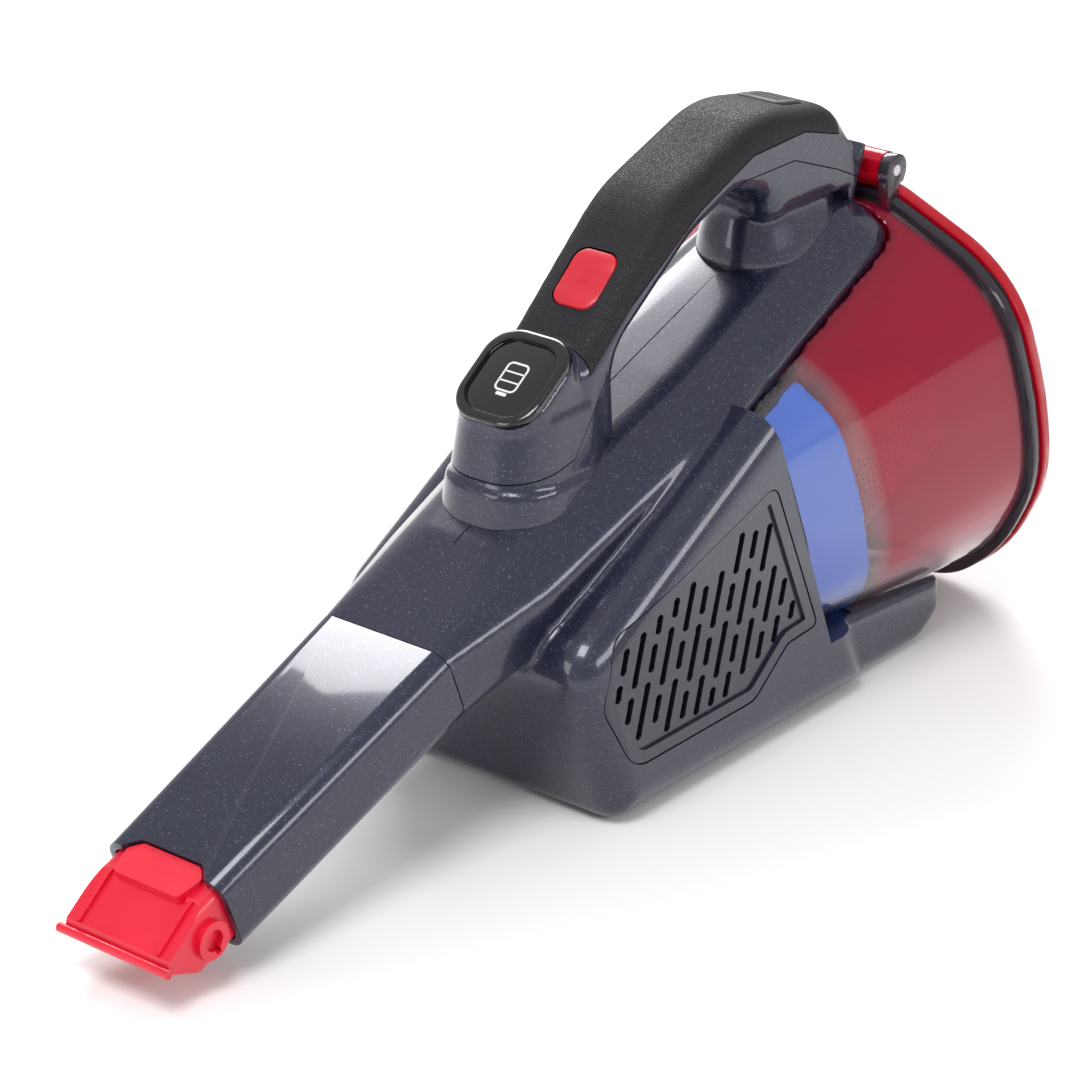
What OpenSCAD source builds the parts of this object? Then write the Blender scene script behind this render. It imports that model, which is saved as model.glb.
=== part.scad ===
// Handheld cordless vacuum: nozzle, duct and arched handle over a motor housing, with a see-through
// dust bowl and a hinged door at the rear. X runs to the rear, Z is up, and the origin is the middle
// of the flat face that it rests on.

/* [Body] */
// Slope of the nozzle and duct above the resting face
axis_tilt = 21; // [15:1:25]
// Height of the duct's centre line above the origin
axis_h = 128.5; // [120:0.5:140]
// Wall of the moulded shells
shell_wall = 2.4; // [1.8:0.1:3]
// Widest part of the motor housing
housing_w = 113; // [108:1:125]
// Width of the duct where it passes the bowl
duct_w = 78; // [70:1:84]
// Depth of the duct
duct_d = 35; // [30:1:40]
// Length of the duct behind the housing's rear face
duct_reach = 112; // [110:1:120]
// Length of the flat base
base_len = 190; // [170:1:200]

/* [Nozzle] */
// Length of the nozzle tube
nozzle_len = 113; // [80:1:140]
// Width of the nozzle at its mouth
nozzle_w = 51; // [46:1:54]
// Depth of the nozzle
nozzle_d = 29; // [26:1:32]
// How far the stowed crevice tool stands out of the nozzle
tool_out = 29; // [20:1:40]
// Length of the crevice tool
tool_len = 118; // [90:1:125]
// Travel of the crevice tool
tool_travel = 78; // [50:1:80]
// Gap between the crevice tool and the nozzle
tool_gap = 0.6; // [0.4:0.1:1]

/* [Handle] */
// Width of the handle
grip_w = 38; // [34:1:44]
// Depth of the handle
grip_d = 24; // [20:1:27]
// Thickness of the soft grip cover
grip_cover = 1.2; // [0.8:0.1:1.6]
// Length of the power button
button_l = 23; // [18:1:26]
// Width of the power button
button_w = 18; // [14:1:20]
// Travel of the power button
button_travel = 1.8; // [1:0.1:2.5]
// Gap around buttons
button_gap = 0.35; // [0.3:0.05:0.6]

/* [Bowl] */
// Slope of the rim face from upright
rim_tilt = 15; // [10:1:20]
// Wall of the bowl
bowl_wall = 2.4; // [1.8:0.1:3]
// Gap between the bowl and the body
bowl_gap = 0.8; // [0.5:0.1:1.2]
// Thickness of the door
door_t = 7; // [5:0.5:9]
// Radius of the door's hinge barrel
barrel_r = 6.2; // [5:0.1:7]
// Length of the door's hinge barrel
barrel_len = 44; // [30:1:60]
// Radius of the hinge pin
pin_r = 2; // [1.5:0.1:2.5]
// Running clearance of the hinge pin, on the radius
pin_gap = 0.06; // [0.02:0.01:0.1]
// Depth of the blue filter frame
frame_d = 30; // [20:1:36]

/* [Power] */
// Diameter of a cell
cell_d = 18.4; // [18:0.1:21.5]
// Length of a cell
cell_l = 65.2; // [60:0.1:71]
// Diameter of the motor can
motor_d = 36; // [28:0.5:42]
// Length of the motor can
motor_l = 50; // [40:1:56]
// Diameter of the fan
fan_d = 64; // [50:1:66]
// Bore of the charge inlet
inlet_r = 2.75; // [2:0.05:3.5]

/* [Hidden] */
$fn = 40;
slate = "#43455a";
fit = 0.3;

// Places along the sloping axis, measured from the point above the origin
join_u = -20;
seam_u = -166;
duct_end_u = join_u + duct_reach;
mouth_u = seam_u - nozzle_len;
nozzle_top = 10;
duct_top = 16;
duct_floor = duct_top - duct_d;

// Motor housing, in side view
nose_x = -101;
brow_x = -125;
brow_z = 66;
shoulder_w = 8;
slope_run = tan(axis_tilt);
rear_u = join_u + 18;
join_top = on_side(rear_u, shoulder_w);
join_low_x = join_top.x + join_top.y * slope_run;
foot_x = base_len / 2 + 4;
foot_h = 24;
foot_w = 100;
edge_r = 12;

// Rim face of the bowl
rim_x = 94;
rim_z = 169;
rim_inset = 4;
flange_d = 8;
axle_n = 1;
axle_v = 9;
lug_t = 4;
lug_gap = 0.4;

// Motor and fan
motor_w = -56;
motor_u = -108;
fan_u = -50;
fan_t = 13;
shaft_r = 2.5;
cell_x = -46;
cell_pitch = cell_d + 1.6;
cell_z = cell_d / 2 + 7;

// Handle
display_x = -91.6;
display_z = 148;
display_slope = 35;
button_x = -52.6;
button_z = 171.5;
button_slope = 40;
release_x = 50;
release_z = 210.1;
release_slope = -10.4;
release_l = 14;
release_w = 20;
release_travel = 2;

// Port from the duct down into the bowl
port_u = 50;
port_l = 28;
port_w = 32;
flap_t = 1.5;

// Power inlet low on the left side
inlet_place = [-60, 14];
inlet_y = 43;
inlet_len = 12;
inlet_wall = 1.7;

function on_side(u, w) = [
    u * cos(axis_tilt) - w * sin(axis_tilt),
    axis_h + u * sin(axis_tilt) + w * cos(axis_tilt)
];
function unit(v) = v / norm(v);
// A corner b between a and c, rounded to radius r
function corner(a, b, c, r) =
    let (
        u = unit(a - b),
        v = unit(c - b),
        half = acos(u * v) / 2,
        o = b + unit(u + v) * r / sin(half),
        s = b + u * r / tan(half) - o,
        e = b + v * r / tan(half) - o,
        a0 = atan2(s.y, s.x),
        turn = (atan2(e.y, e.x) - a0 + 540) % 360 - 180,
        n = max(2, round(abs(turn) / 11))
    ) [for (i = [0 : n]) o + r * [cos(a0 + turn * i / n), sin(a0 + turn * i / n)]];
// An outline from corners [x, y, radius]
function outline(P) =
    let (n = len(P)) [
        for (i = [0 : n - 1])
            let (a = P[(i + n - 1) % n], b = P[i], c = P[(i + 1) % n])
            each corner([a.x, a.y], [b.x, b.y], [c.x, c.y], b.z)
    ];
// The right-hand corners, top to bottom, and their mirror image
function both(P) = concat(P, [for (i = [len(P) - 1 : -1 : 0]) [-P[i].x, P[i].y, P[i].z]]);
function tube_section(half, top, low, r) = both([[half, top, r], [half, low, r]]);
function duct_section(half, top, low) = both([[half * 0.55, top, 24], [half, top - 13, 8], [half - 2, low, 5]]);

bowl_front = both([[40, 0, 12], [55, -14, 14], [55.5, -52, 60], [51, -90, 22], [30, -103, 24]]);
rim_corners = both([
    [22, 3, 14], [73, -25, 24], [79, -75, 60], [77, -112, 40], [57, -149, 30], [30, -171, 30]
]);
motor_corners = [
    [nose_x, 0.8, 8],
    [brow_x, brow_z, 18],
    [join_top.x, join_top.y, 4],
    [join_low_x, 0.8, 2]
];
foot_corners = [
    [-20, 0.8, 1],
    [foot_x - 12, 0.8, 12],
    [foot_x, 9, 4],
    [foot_x, foot_h, 3],
    [20, foot_h + 6, 4],
    [-20, foot_h + 6, 1]
];
handle_corners = [
    [-112, 106, 1], [-105, 139, 5], [-76, 160, 5], [-72.5, 155.5, 4], [-27, 195.5, 60],
    [26, 214.5, 44], [67, 207, 20], [83, 186, 18], [80, 158, 4], [20, 146, 4], [20, 180, 12],
    [8, 189, 12], [-16, 180, 40], [-58, 150, 16], [-56, 118, 1]
];
vent_corners = [
    [-106, 72, 12], [-112, 50, 14], [-96, 22, 14], [-28, 22, 10], [-9, 37, 6], [8.5, 38, 2],
    [-18.5, 100, 5]
];
// Parting line between the handle's upper and lower shells
split_line = [
    [-130, 114], [-84, 122], [-66, 143], [-50, 160], [-14, 184.5], [12, 194], [40, 194], [66, 184],
    [100, 168]
];
grip_line = [[-73, 148], [-52, 166], [-14, 190], [16, 202], [46, 203], [66, 197]];

module on_axis() {
    translate([0, 0, axis_h])
        rotate([0, -axis_tilt, 0])
            children();
}
module on_rim() {
    translate([rim_x, 0, rim_z])
        rotate([0, -rim_tilt, 0])
            children();
}
// A frame on the handle's skin, with +Z outwards
module on_handle(x, z, slope) {
    translate([x, 0, z])
        rotate([0, -slope, 0])
            children();
}
module inset(g) {
    if (g == 0)
        children();
    else
        offset(delta = -g)
            children();
}
// A cross-section, at u along the axis and t long, drawn in by g
module section(u, t, P, g = 0) {
    translate([u, 0, 0])
        rotate([90, 0, 90])
            linear_extrude(t)
                inset(g)
                    polygon(outline(P));
}
// A side view, w wide, drawn in by g
module side(w, P, g = 0) {
    rotate([90, 0, 0])
        linear_extrude(w, center = true)
            inset(g)
                polygon(outline(P));
}
module half_space(sign) {
    translate([-400, sign > 0 ? 0 : -200, -100])
        cube([800, 200, 500]);
}
// A rounded plate, l along X and w along Y
module pad(l, w, t, r) {
    linear_extrude(t)
        polygon(outline([[-l / 2, -w / 2, r], [l / 2, -w / 2, r], [l / 2, w / 2, r], [-l / 2, w / 2, r]]));
}
module axis_rod(u, l, r, w = 0) {
    translate([u, 0, w])
        rotate([0, 90, 0])
            cylinder(h = l, r = r);
}

// The duct from the nozzle seam to its rounded rear end, drawn in by g
module duct_form(g = 0) {
    on_axis()
        hull() {
            section(seam_u, 0.5, tube_section(28, nozzle_top + 0.5, duct_floor, 7), g);
            section(seam_u + 44, 0.5, duct_section(36, duct_top, duct_floor), g);
            section(join_u - 6, 1, duct_section(duct_w / 2 + 2, duct_top, duct_floor), g);
            section(duct_end_u - 14, 1, duct_section(duct_w / 2 - 6, duct_top - 1, duct_floor), g);
            section(duct_end_u - 1 - g, 1, duct_section(duct_w / 2 - 12, duct_top - 7, duct_floor), g);
        }
}
// The motor housing with rounded edges, drawn in by g
module motor_form(g = 0) {
    hull() {
        side(housing_w - 2 * edge_r - 2 * g, motor_corners, g);
        side(housing_w - 7 - 2 * g, motor_corners, g + 3.5);
        side(housing_w - 2 * g, motor_corners, g + edge_r);
    }
}
module foot_form(g = 0) {
    hull() {
        side(foot_w - 12 - 2 * g, foot_corners, g);
        side(foot_w - 2 * g, foot_corners, g + 5);
    }
}
// The outside of the bowl without its duct channel, drawn in by g
module bowl_form(g = 0) {
    hull() {
        on_axis()
            section(join_u + bowl_gap, 1, bowl_front, g);
        on_rim()
            section(-flange_d, flange_d - 0.5, rim_corners, rim_inset + g);
    }
}
module bowl_solid(g = 0) {
    difference() {
        bowl_form(g);
        duct_form(-bowl_gap - g);
    }
}
// Everything on the axis between two places
module between(u0, u1) {
    on_axis()
        translate([u0, -100, -130])
            cube([u1 - u0, 200, 200]);
}
module vent_prism(w, g = 0) {
    side(w, vent_corners, g);
}

// ---- nozzle ----
module nozzle() {
    color(slate)
        on_axis()
            difference() {
                union() {
                    hull() {
                        section(mouth_u, 1, tube_section(nozzle_w / 2, nozzle_top, nozzle_top - nozzle_d, 7));
                        section(seam_u - fit - 1, 1, tube_section(28, nozzle_top + 0.5, duct_floor, 7));
                    }
                    section(seam_u - 4, 12, tube_section(28 - shell_wall - fit, nozzle_top - shell_wall, -16.6, 5));
                }
                section(mouth_u - 1, nozzle_len + 30, tool_bore());
                linear_extrude(20)
                    polygon(both_ways([[mouth_u - 3, 19], [mouth_u + 1, 17.5], [mouth_u + 5.2, 13]]));
            }
}
// An outline from the left-hand points [u, y] and their mirror image
function both_ways(P) = concat(P, [for (i = [len(P) - 1 : -1 : 0]) [P[i].x, -P[i].y]]);
function tool_bore(g = 0) =
    tube_section(nozzle_w / 2 - shell_wall - g, nozzle_top - shell_wall - g, nozzle_top - nozzle_d + shell_wall + g, 5);

module crevice_tool() {
    lip_u = mouth_u - tool_out;
    bore_half = nozzle_w / 2 - shell_wall - tool_gap;
    low = nozzle_top - nozzle_d + shell_wall + tool_gap;
    color("#ff1e4e")
        on_axis()
            difference() {
                union() {
                    intersection() {
                        section(lip_u, tool_len, tool_bore(tool_gap));
                        rotate([90, 0, 0])
                            linear_extrude(nozzle_w, center = true)
                                polygon([
                                    [lip_u, -3], [lip_u + 2, 1], [mouth_u, nozzle_top], [lip_u + tool_len, nozzle_top],
                                    [lip_u + tool_len, low - 1], [lip_u + 16, low - 1]
                                ]);
                    }
                    translate([0, 0, 3])
                        linear_extrude(nozzle_top - 4)
                            polygon(both_ways([[mouth_u - 9, 14], [mouth_u + 0.6, 16.4], [mouth_u + 4.6, 12.4]]));
                    translate([lip_u, 0, -2])
                        rotate([90, 0, 0])
                            cylinder(h = 2 * bore_half + 3, r = 1.6, center = true);
                    for (s = [-1, 1])
                        translate([mouth_u - 9, s * bore_half, -6])
                            rotate([90, 0, 0])
                                cylinder(h = 4, r = 6.5, center = true);
                }
                section(lip_u - 3, tool_len + 6, tube_section(bore_half - 2, -4.5, low + 2, 3));
                section(lip_u + 18, tool_len, tube_section(bore_half - 2, nozzle_top - shell_wall - 3, low + 2, 3));
                for (s = [-1, 1])
                    translate([mouth_u - 9, s * (bore_half + 1.5), -6])
                        rotate([90, 0, 0])
                            cylinder(h = 2.6, r = 3.6, center = true);
            }
}

// ---- body shells ----
screw_r = 1.5;
screw_head_y = 16;
screw_places = [[-113.5, 58], [-82, 11.5], [13, 12]];
screw_reach = housing_w / 2 - 4.5;
plate_x = 4;
plate_l = 176;
plate_w = 84;
plate_t = 3;
plate_screws = [for (x = [-80, 80], y = [-34, 34]) [plate_x + x, y]];
floor_z = plate_t + 0.2 + shell_wall;
module body_outer() {
    duct_form();
    difference() {
        motor_form();
        between(join_u, 60);
    }
    difference() {
        foot_form();
        bowl_form(-bowl_gap);
    }
}
module along_y(p, y0, y1, r) {
    translate([p.x, y1, p.y])
        rotate([90, 0, 0])
            cylinder(h = y1 - y0, r = r);
}
module body_half(sign) {
    difference() {
        union() {
            difference() {
                intersection() {
                    body_outer();
                    half_space(sign);
                }
                duct_form(shell_wall);
                difference() {
                    motor_form(shell_wall);
                    duct_form();
                    between(join_u - shell_wall, 60);
                    translate([-200, -100, 0])
                        cube([400, 200, floor_z]);
                }
            }
            for (p = screw_places)
                along_y(p, sign > 0 ? 0 : -screw_reach, sign > 0 ? screw_reach : 0, 4.6);
            for (p = plate_screws)
                if (p.y * sign > 0)
                    translate([p.x, p.y, plate_t + 0.2])
                        cylinder(h = 7, r = 3.4);
        }
        // nozzle socket, filter opening and inlet port
        on_axis() {
            section(seam_u - 1, 12, tube_section(28 - shell_wall, nozzle_top + 0.5 - shell_wall,
                duct_floor + shell_wall, 5));
            translate([join_u - 8, -fan_d / 2, motor_w - 24])
                cube([16, fan_d, 48]);
            translate([port_u, -port_w / 2, duct_floor - 2])
                cube([port_l, port_w, 12]);
        }
        intersection() {
            vent_prism(housing_w + 10, -fit);
            translate([-200, sign > 0 ? vent_y : -vent_y - 20, 0])
                cube([400, 20, 200]);
        }
        translate([plate_x, 0, -1])
            pad(plate_l, plate_w, plate_t + 1.2, 8);
        translate([60, 0, -1])
            pad(58, plate_w - 16, 8, 6);
        if (sign > 0)
            along_y(inlet_place, inlet_y - 3, housing_w, inlet_r + inlet_wall + 0.05);
        for (p = screw_places)
            if (sign > 0) {
                along_y(p, -1, screw_head_y + 1, screw_r + 0.2);
                along_y(p, screw_head_y, housing_w, 3.4);
            } else
                along_y(p, -screw_head_y + 4, 1, screw_r);
        for (p = plate_screws)
            translate([p.x, p.y, 0])
                cylinder(h = 10, r = screw_r - 0.2);
    }
}
// The halves part on the middle plane; +Y is the left one
module body_left() {
    color(slate)
        body_half(1);
}
module body_right() {
    color(slate)
        body_half(-1);
}
module base_plate() {
    color("#17171c")
        difference() {
            translate([plate_x, 0, 0])
                pad(plate_l - 2 * fit, plate_w - 2 * fit, plate_t, 8 - fit);
            for (p = plate_screws)
                translate([p.x, p.y, -1]) {
                    cylinder(h = 6, r = screw_r);
                    cylinder(h = 2.8, r = 3);
                }
        }
}
module case_screws() {
    color("silver") {
        for (p = screw_places) {
            along_y(p, -screw_head_y + 5, screw_head_y + 0.5, screw_r);
            along_y(p, screw_head_y, screw_head_y + 2.4, 3);
        }
        for (p = plate_screws)
            translate([p.x, p.y, 0.6]) {
                cylinder(h = 8.4, r = screw_r - 0.2);
                cylinder(h = 1.2, r = 2.8);
            }
    }
}
module charge_inlet() {
    color("#17171c")
        difference() {
            along_y(inlet_place, inlet_y, inlet_y + inlet_len, inlet_r + inlet_wall);
            along_y(inlet_place, inlet_y + 2, inlet_y + inlet_len + 1, inlet_r);
        }
}

// ---- handle ----
module handle_form(g = 0) {
    side(grip_w - 9 - 2 * g, handle_corners, g);
    side(grip_w - 3 - 2 * g, handle_corners, g + 1.5);
    side(grip_w - 2 * g, handle_corners, g + 4.5);
    hull() {
        translate([-84, 0, 98])
            pad(58 - 2 * g, 48 - 2 * g, 1, 20 - g);
        translate([-84, 0, 124])
            pad(54 - 2 * g, 43 - 2 * g, 1, 18 - g);
        translate([-82, 0, 140 - g])
            pad(46 - 2 * g, 38 - 2 * g, 1, 16 - g);
    }
    hull() {
        translate([52, 0, 146])
            pad(64 - 2 * g, 44 - 2 * g, 1, 12 - g);
        translate([50, 0, 172])
            pad(58 - 2 * g, 36 - 2 * g, 1, 10 - g);
    }
}
module handle_shell() {
    difference() {
        handle_form();
        handle_form(shell_wall);
        duct_form();
    }
}
module above_split() {
    rotate([90, 0, 0])
        linear_extrude(80, center = true)
            polygon(concat(split_line, [[120, 260], [-140, 260]]));
}
module grip_band() {
    intersection() {
        difference() {
            side(grip_w - 6, handle_corners);
            side(grip_w, handle_corners, grip_cover);
        }
        rotate([90, 0, 0])
            linear_extrude(80, center = true)
                polygon(concat(grip_line, [[66, 250], [-73, 250]]));
    }
}
module button_hole() {
    on_handle(button_x, button_z, button_slope)
        translate([0, 0, -12])
            pad(button_l + 2 * button_gap, button_w + 2 * button_gap, 30, 5.5);
}
module release_hole() {
    on_handle(release_x, release_z, release_slope)
        translate([0, 0, -12])
            pad(release_l + 2 * button_gap, release_w + 2 * button_gap, 30, 3.5);
}
module display_pocket() {
    on_handle(display_x, display_z, display_slope)
        translate([0, 0, -3])
            pad(38, 35, 12, 12);
}
module handle_lower() {
    color("#3a3d52")
        difference() {
            handle_shell();
            above_split();
        }
}
module handle_upper() {
    color(slate)
        difference() {
            intersection() {
                handle_shell();
                above_split();
            }
            grip_band();
            button_hole();
            release_hole();
            display_pocket();
        }
}
module soft_grip() {
    color("#1e1c23")
        difference() {
            grip_band();
            button_hole();
            release_hole();
            display_pocket();
        }
}
module display_bezel() {
    color("#141319")
        on_handle(display_x, display_z, display_slope)
            difference() {
                translate([0, 0, -3])
                    pad(38 - 0.2, 35 - 0.2, 4, 12);
                translate([-0.5, 0, -0.4])
                    pad(30, 28, 6, 10);
            }
}
module display_window() {
    color("#08080c")
        on_handle(display_x, display_z, display_slope)
            translate([-0.5, 0, -0.4])
                pad(30 - 0.3, 28 - 0.3, 1.6, 10);
}
// Depths below the handle's skin at the button
flange_z = -4.5;
board_z = -9.4;
module power_button() {
    color("#d21e38")
        on_handle(button_x, button_z, button_slope) {
            translate([0, 0, flange_z])
                pad(button_l, button_w, -flange_z + 1.6, 5.2);
            translate([0, 0, flange_z - 1])
                cylinder(h = 2, r = 2.4);
        }
}
// A coil spring along Z from z = 0, as one closed swept tube
module coil(l, r, wire, turns) {
    steps = round(turns * 14);
    sides = 6;
    function ring(i) =
        let (a = 360 * turns * i / steps)
        [
            for (k = [0 : sides - 1])
                let (b = 360 * k / sides, q = r + wire * cos(b))
                [q * cos(a), q * sin(a), wire + (l - 2 * wire) * i / steps + wire * sin(b)]
        ];
    points = [for (i = [0 : steps]) each ring(i)];
    walls = [
        for (i = [0 : steps - 1], k = [0 : sides - 1])
            let (a = i * sides + k, b = i * sides + (k + 1) % sides)
            [a, a + sides, b + sides, b]
    ];
    caps = [[for (k = [0 : sides - 1]) k], [for (k = [sides - 1 : -1 : 0]) steps * sides + k]];
    polyhedron(points, concat(walls, caps));
}
module button_spring() {
    color("silver")
        on_handle(button_x, button_z, button_slope)
            translate([0, 0, board_z + 0.1])
                coil(flange_z - board_z - 0.2, 4.4, 0.3, 3);
}
module switch() {
    color("#2b2b30")
        on_handle(button_x, button_z, button_slope)
            translate([-2.5, -2.5, board_z])
                cube([5, 5, flange_z - 1 - button_travel - 0.2 - board_z]);
}
module circuit_board() {
    color("#1d5c37")
        on_handle(button_x, button_z, button_slope)
            translate([2, 0, board_z - 1.2])
                pad(20, 24, 1.2, 2);
}
module bowl_release() {
    color("#141319")
        on_handle(release_x, release_z, release_slope) {
            translate([0, 0, -7])
                pad(release_l, release_w, 7.8, 3.2);
            translate([-2, -4, -12])
                cube([4, 8, 6]);
        }
}
module release_spring() {
    color("silver")
        on_handle(release_x, release_z, release_slope)
            translate([0, 0, -19])
                coil(6.8, 3, 0.35, 4);
}

// ---- vent panels ----
vent_y = 44;
slot_w = 3.6;
slot_lean = 16;
slot_long = 20.5;
slot_short = 10.2;
slot_gap = 3.15;
slot_pitch = 7.9;
module slot(l) {
    translate([-slot_w / 2, slot_w / 2])
        square([slot_w, l - slot_w]);
    for (z = [slot_w / 2, l - slot_w / 2])
        translate([0, z])
            circle(d = slot_w);
}
module vent_pattern() {
    run = slot_long + slot_short + 2 * slot_gap;
    translate([-52, 58])
        rotate([0, 0, -slot_lean])
            for (i = [-8 : 8], k = [-2 : 1])
                translate([i * slot_pitch, k * run + (i % 2 == 0 ? 0 : run / 2)]) {
                    slot(slot_long);
                    translate([0, slot_long + slot_gap])
                        slot(slot_short);
                }
}
module vent_panel(sign) {
    color("#3a3c4f")
        difference() {
            intersection() {
                union() {
                    intersection() {
                        motor_form(0.4);
                        vent_prism(housing_w + 10);
                    }
                    difference() {
                        intersection() {
                            motor_form(shell_wall);
                            vent_prism(housing_w + 10, -2);
                        }
                        for (p = screw_places)
                            along_y(p, -housing_w, housing_w, 5);
                    }
                }
                translate([-200, sign > 0 ? vent_y : -vent_y - 20, 0])
                    cube([400, 20, 200]);
            }
            motor_form(shell_wall + 1.6);
            between(join_u - shell_wall, 60);
            rotate([90, 0, 0])
                translate([0, 0, sign > 0 ? -housing_w / 2 - 5 : vent_y - 4])
                    linear_extrude(housing_w / 2 + 9 - vent_y)
                        intersection() {
                            vent_pattern();
                            offset(delta = -5)
                                polygon(outline(vent_corners));
                        }
        }
}
module vent_panel_left() {
    vent_panel(1);
}
module vent_panel_right() {
    vent_panel(-1);
}

// ---- power ----
module battery_holder() {
    color("#2b2b30")
        difference() {
            translate([cell_x - cell_d / 2 - 1.5, -36, floor_z])
                cube([2 * cell_pitch + cell_d + 3, 72, 8]);
            for (i = [0 : 2])
                along_y([cell_x + i * cell_pitch, cell_z], -cell_l / 2 - 0.2, cell_l / 2 + 0.2, cell_d / 2 + 0.15);
        }
}
module cell(i) {
    color("#3f7fbf")
        along_y([cell_x + i * cell_pitch, cell_z], -cell_l / 2, cell_l / 2, cell_d / 2);
}
module cell_front() {
    cell(0);
}
module cell_middle() {
    cell(1);
}
module cell_rear() {
    cell(2);
}
module motor() {
    color("#8d9095")
        on_axis()
            difference() {
                union() {
                    axis_rod(motor_u, motor_l, motor_d / 2, motor_w);
                    axis_rod(motor_u - 3, 4, 8, motor_w);
                }
                axis_rod(motor_u + 6, motor_l, shaft_r + 0.05, motor_w);
            }
}
module motor_mount() {
    color("#242428")
        on_axis()
            difference() {
                union() {
                    axis_rod(motor_u + 10, 8, motor_d / 2 + 4, motor_w);
                    axis_rod(motor_u + motor_l - 12, 8, motor_d / 2 + 4, motor_w);
                }
                axis_rod(motor_u, motor_l, motor_d / 2, motor_w);
            }
}
module rotor_shaft() {
    color("silver")
        on_axis()
            axis_rod(motor_u + 7, fan_u + fan_t - motor_u - 6, shaft_r, motor_w);
}
module fan() {
    color("#c9ccd2")
        on_axis()
            difference() {
                union() {
                    axis_rod(fan_u, 1.6, fan_d / 2, motor_w);
                    axis_rod(fan_u, fan_t, 6, motor_w);
                    for (i = [0 : 8])
                        translate([fan_u, 0, motor_w])
                            rotate([i * 40, 0, 0])
                                translate([0, 5, 0])
                                    rotate([-30, 0, 0])
                                        cube([fan_t - 2, fan_d / 2 - 12, 1.2]);
                }
                axis_rod(fan_u - 1, fan_t + 2, shaft_r, motor_w);
            }
}
module fan_shroud() {
    color("#2b2b30")
        on_axis()
            difference() {
                axis_rod(fan_u - 4, fan_t + 8, fan_d / 2 + 3.5, motor_w);
                axis_rod(fan_u - 2, fan_t + 4, fan_d / 2 + 1.5, motor_w);
                axis_rod(fan_u - 5, 5, 10, motor_w);
                axis_rod(fan_u + 5, 20, 17, motor_w);
                for (i = [0 : 7])
                    translate([fan_u, 0, motor_w])
                        rotate([i * 45 + 22, 0, 0])
                            translate([1, 0, -4])
                                cube([fan_t - 3, fan_d, 8]);
            }
}

// ---- bowl, filter and door ----
module on_axle() {
    on_rim()
        translate([axle_n, 0, axle_v])
            rotate([90, 0, 0])
                children();
}
module dust_bowl() {
    color([0.35, 0.25, 0.3, 0.4])
        difference() {
            union() {
                difference() {
                    union() {
                        bowl_form();
                        on_rim()
                            section(-5, 4.5, rim_corners, 1.2);
                    }
                    duct_form(-bowl_gap);
                    difference() {
                        hull() {
                            on_axis()
                                section(join_u, 1, bowl_front, bowl_wall);
                            on_rim()
                                section(-flange_d, flange_d + 1, rim_corners, rim_inset + bowl_wall);
                        }
                        duct_form(-bowl_gap - bowl_wall);
                    }
                }
                for (s = [-1, 1])
                    translate([0, s * (barrel_len / 2 + lug_gap + lug_t / 2), 0])
                        on_axle()
                            difference() {
                                hull() {
                                    cylinder(h = lug_t, r = 6, center = true);
                                    translate([-axle_n - 4.5, -axle_v - 2, 0])
                                        cube([5, 4, lug_t], center = true);
                                }
                                translate([-axle_n, -axle_v - 20, -lug_t])
                                    cube([20, 23.2, 2 * lug_t]);
                            }
            }
            on_axle()
                cylinder(h = barrel_len + 40, r = pin_r, center = true);
            on_axis()
                translate([port_u, -port_w / 2, duct_floor - 8])
                    cube([port_l, port_w, 12]);
        }
}
module inlet_seal() {
    color("#202024")
        on_axis()
            difference() {
                translate([port_u - 2.5, -port_w / 2 - 2.5, duct_floor - bowl_gap])
                    cube([port_l + 5, port_w + 5, bowl_gap - 0.2]);
                translate([port_u, -port_w / 2, duct_floor - 8])
                    cube([port_l, port_w, 12]);
            }
}
flap_top = duct_floor - bowl_gap - bowl_wall - 0.4;
module intake_flap() {
    color("#202024")
        on_axis()
            translate([port_u - 3, 0, flap_top - flap_t / 2]) {
                rotate([90, 0, 0])
                    cylinder(h = port_w + 4, r = flap_t / 2, center = true);
                translate([0, -port_w / 2 - 2, -flap_t / 2])
                    cube([port_l + 6, port_w + 4, flap_t]);
            }
}
pre_front = both([[38, -27, 8], [50.5, -40, 14], [50, -80, 20], [34, -94, 16]]);
pre_rear = both([[38, -44, 10], [50, -56, 12], [49, -82, 16], [34, -94, 12]]);
module filter_frame() {
    color("#4a90f0")
        difference() {
            intersection() {
                bowl_solid(bowl_wall + fit);
                between(join_u + 1.4, join_u + frame_d);
            }
            intersection() {
                bowl_solid(bowl_wall + fit + 3);
                between(join_u + 6, join_u + frame_d + 1);
            }
            on_axis()
                translate([join_u - 5, -36, motor_w - 30])
                    cube([frame_d + 20, 72, 56]);
        }
}
module filter_pleats() {
    pleats = 12;
    pitch = 70 / pleats;
    fold = frame_d - 12;
    color("#e8e4da")
        on_axis()
            translate([join_u + 3, -35, motor_w - 29])
                linear_extrude(54)
                    polygon(concat(
                        [for (i = [0 : pleats - 1]) each [[0, i * pitch], [fold, (i + 0.5) * pitch]]],
                        [[0, 70], [1.5, 70]],
                        [for (i = [pleats - 1 : -1 : 0]) each [[fold + 1.5, (i + 0.5) * pitch], [1.5, i * pitch]]]
                    ));
}
module filter_seal() {
    color("#202024")
        on_axis()
            difference() {
                translate([join_u + 0.5, -40, motor_w - 33])
                    cube([0.9, 80, 62]);
                translate([join_u, -36, motor_w - 30])
                    cube([3, 72, 56]);
            }
}
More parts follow.
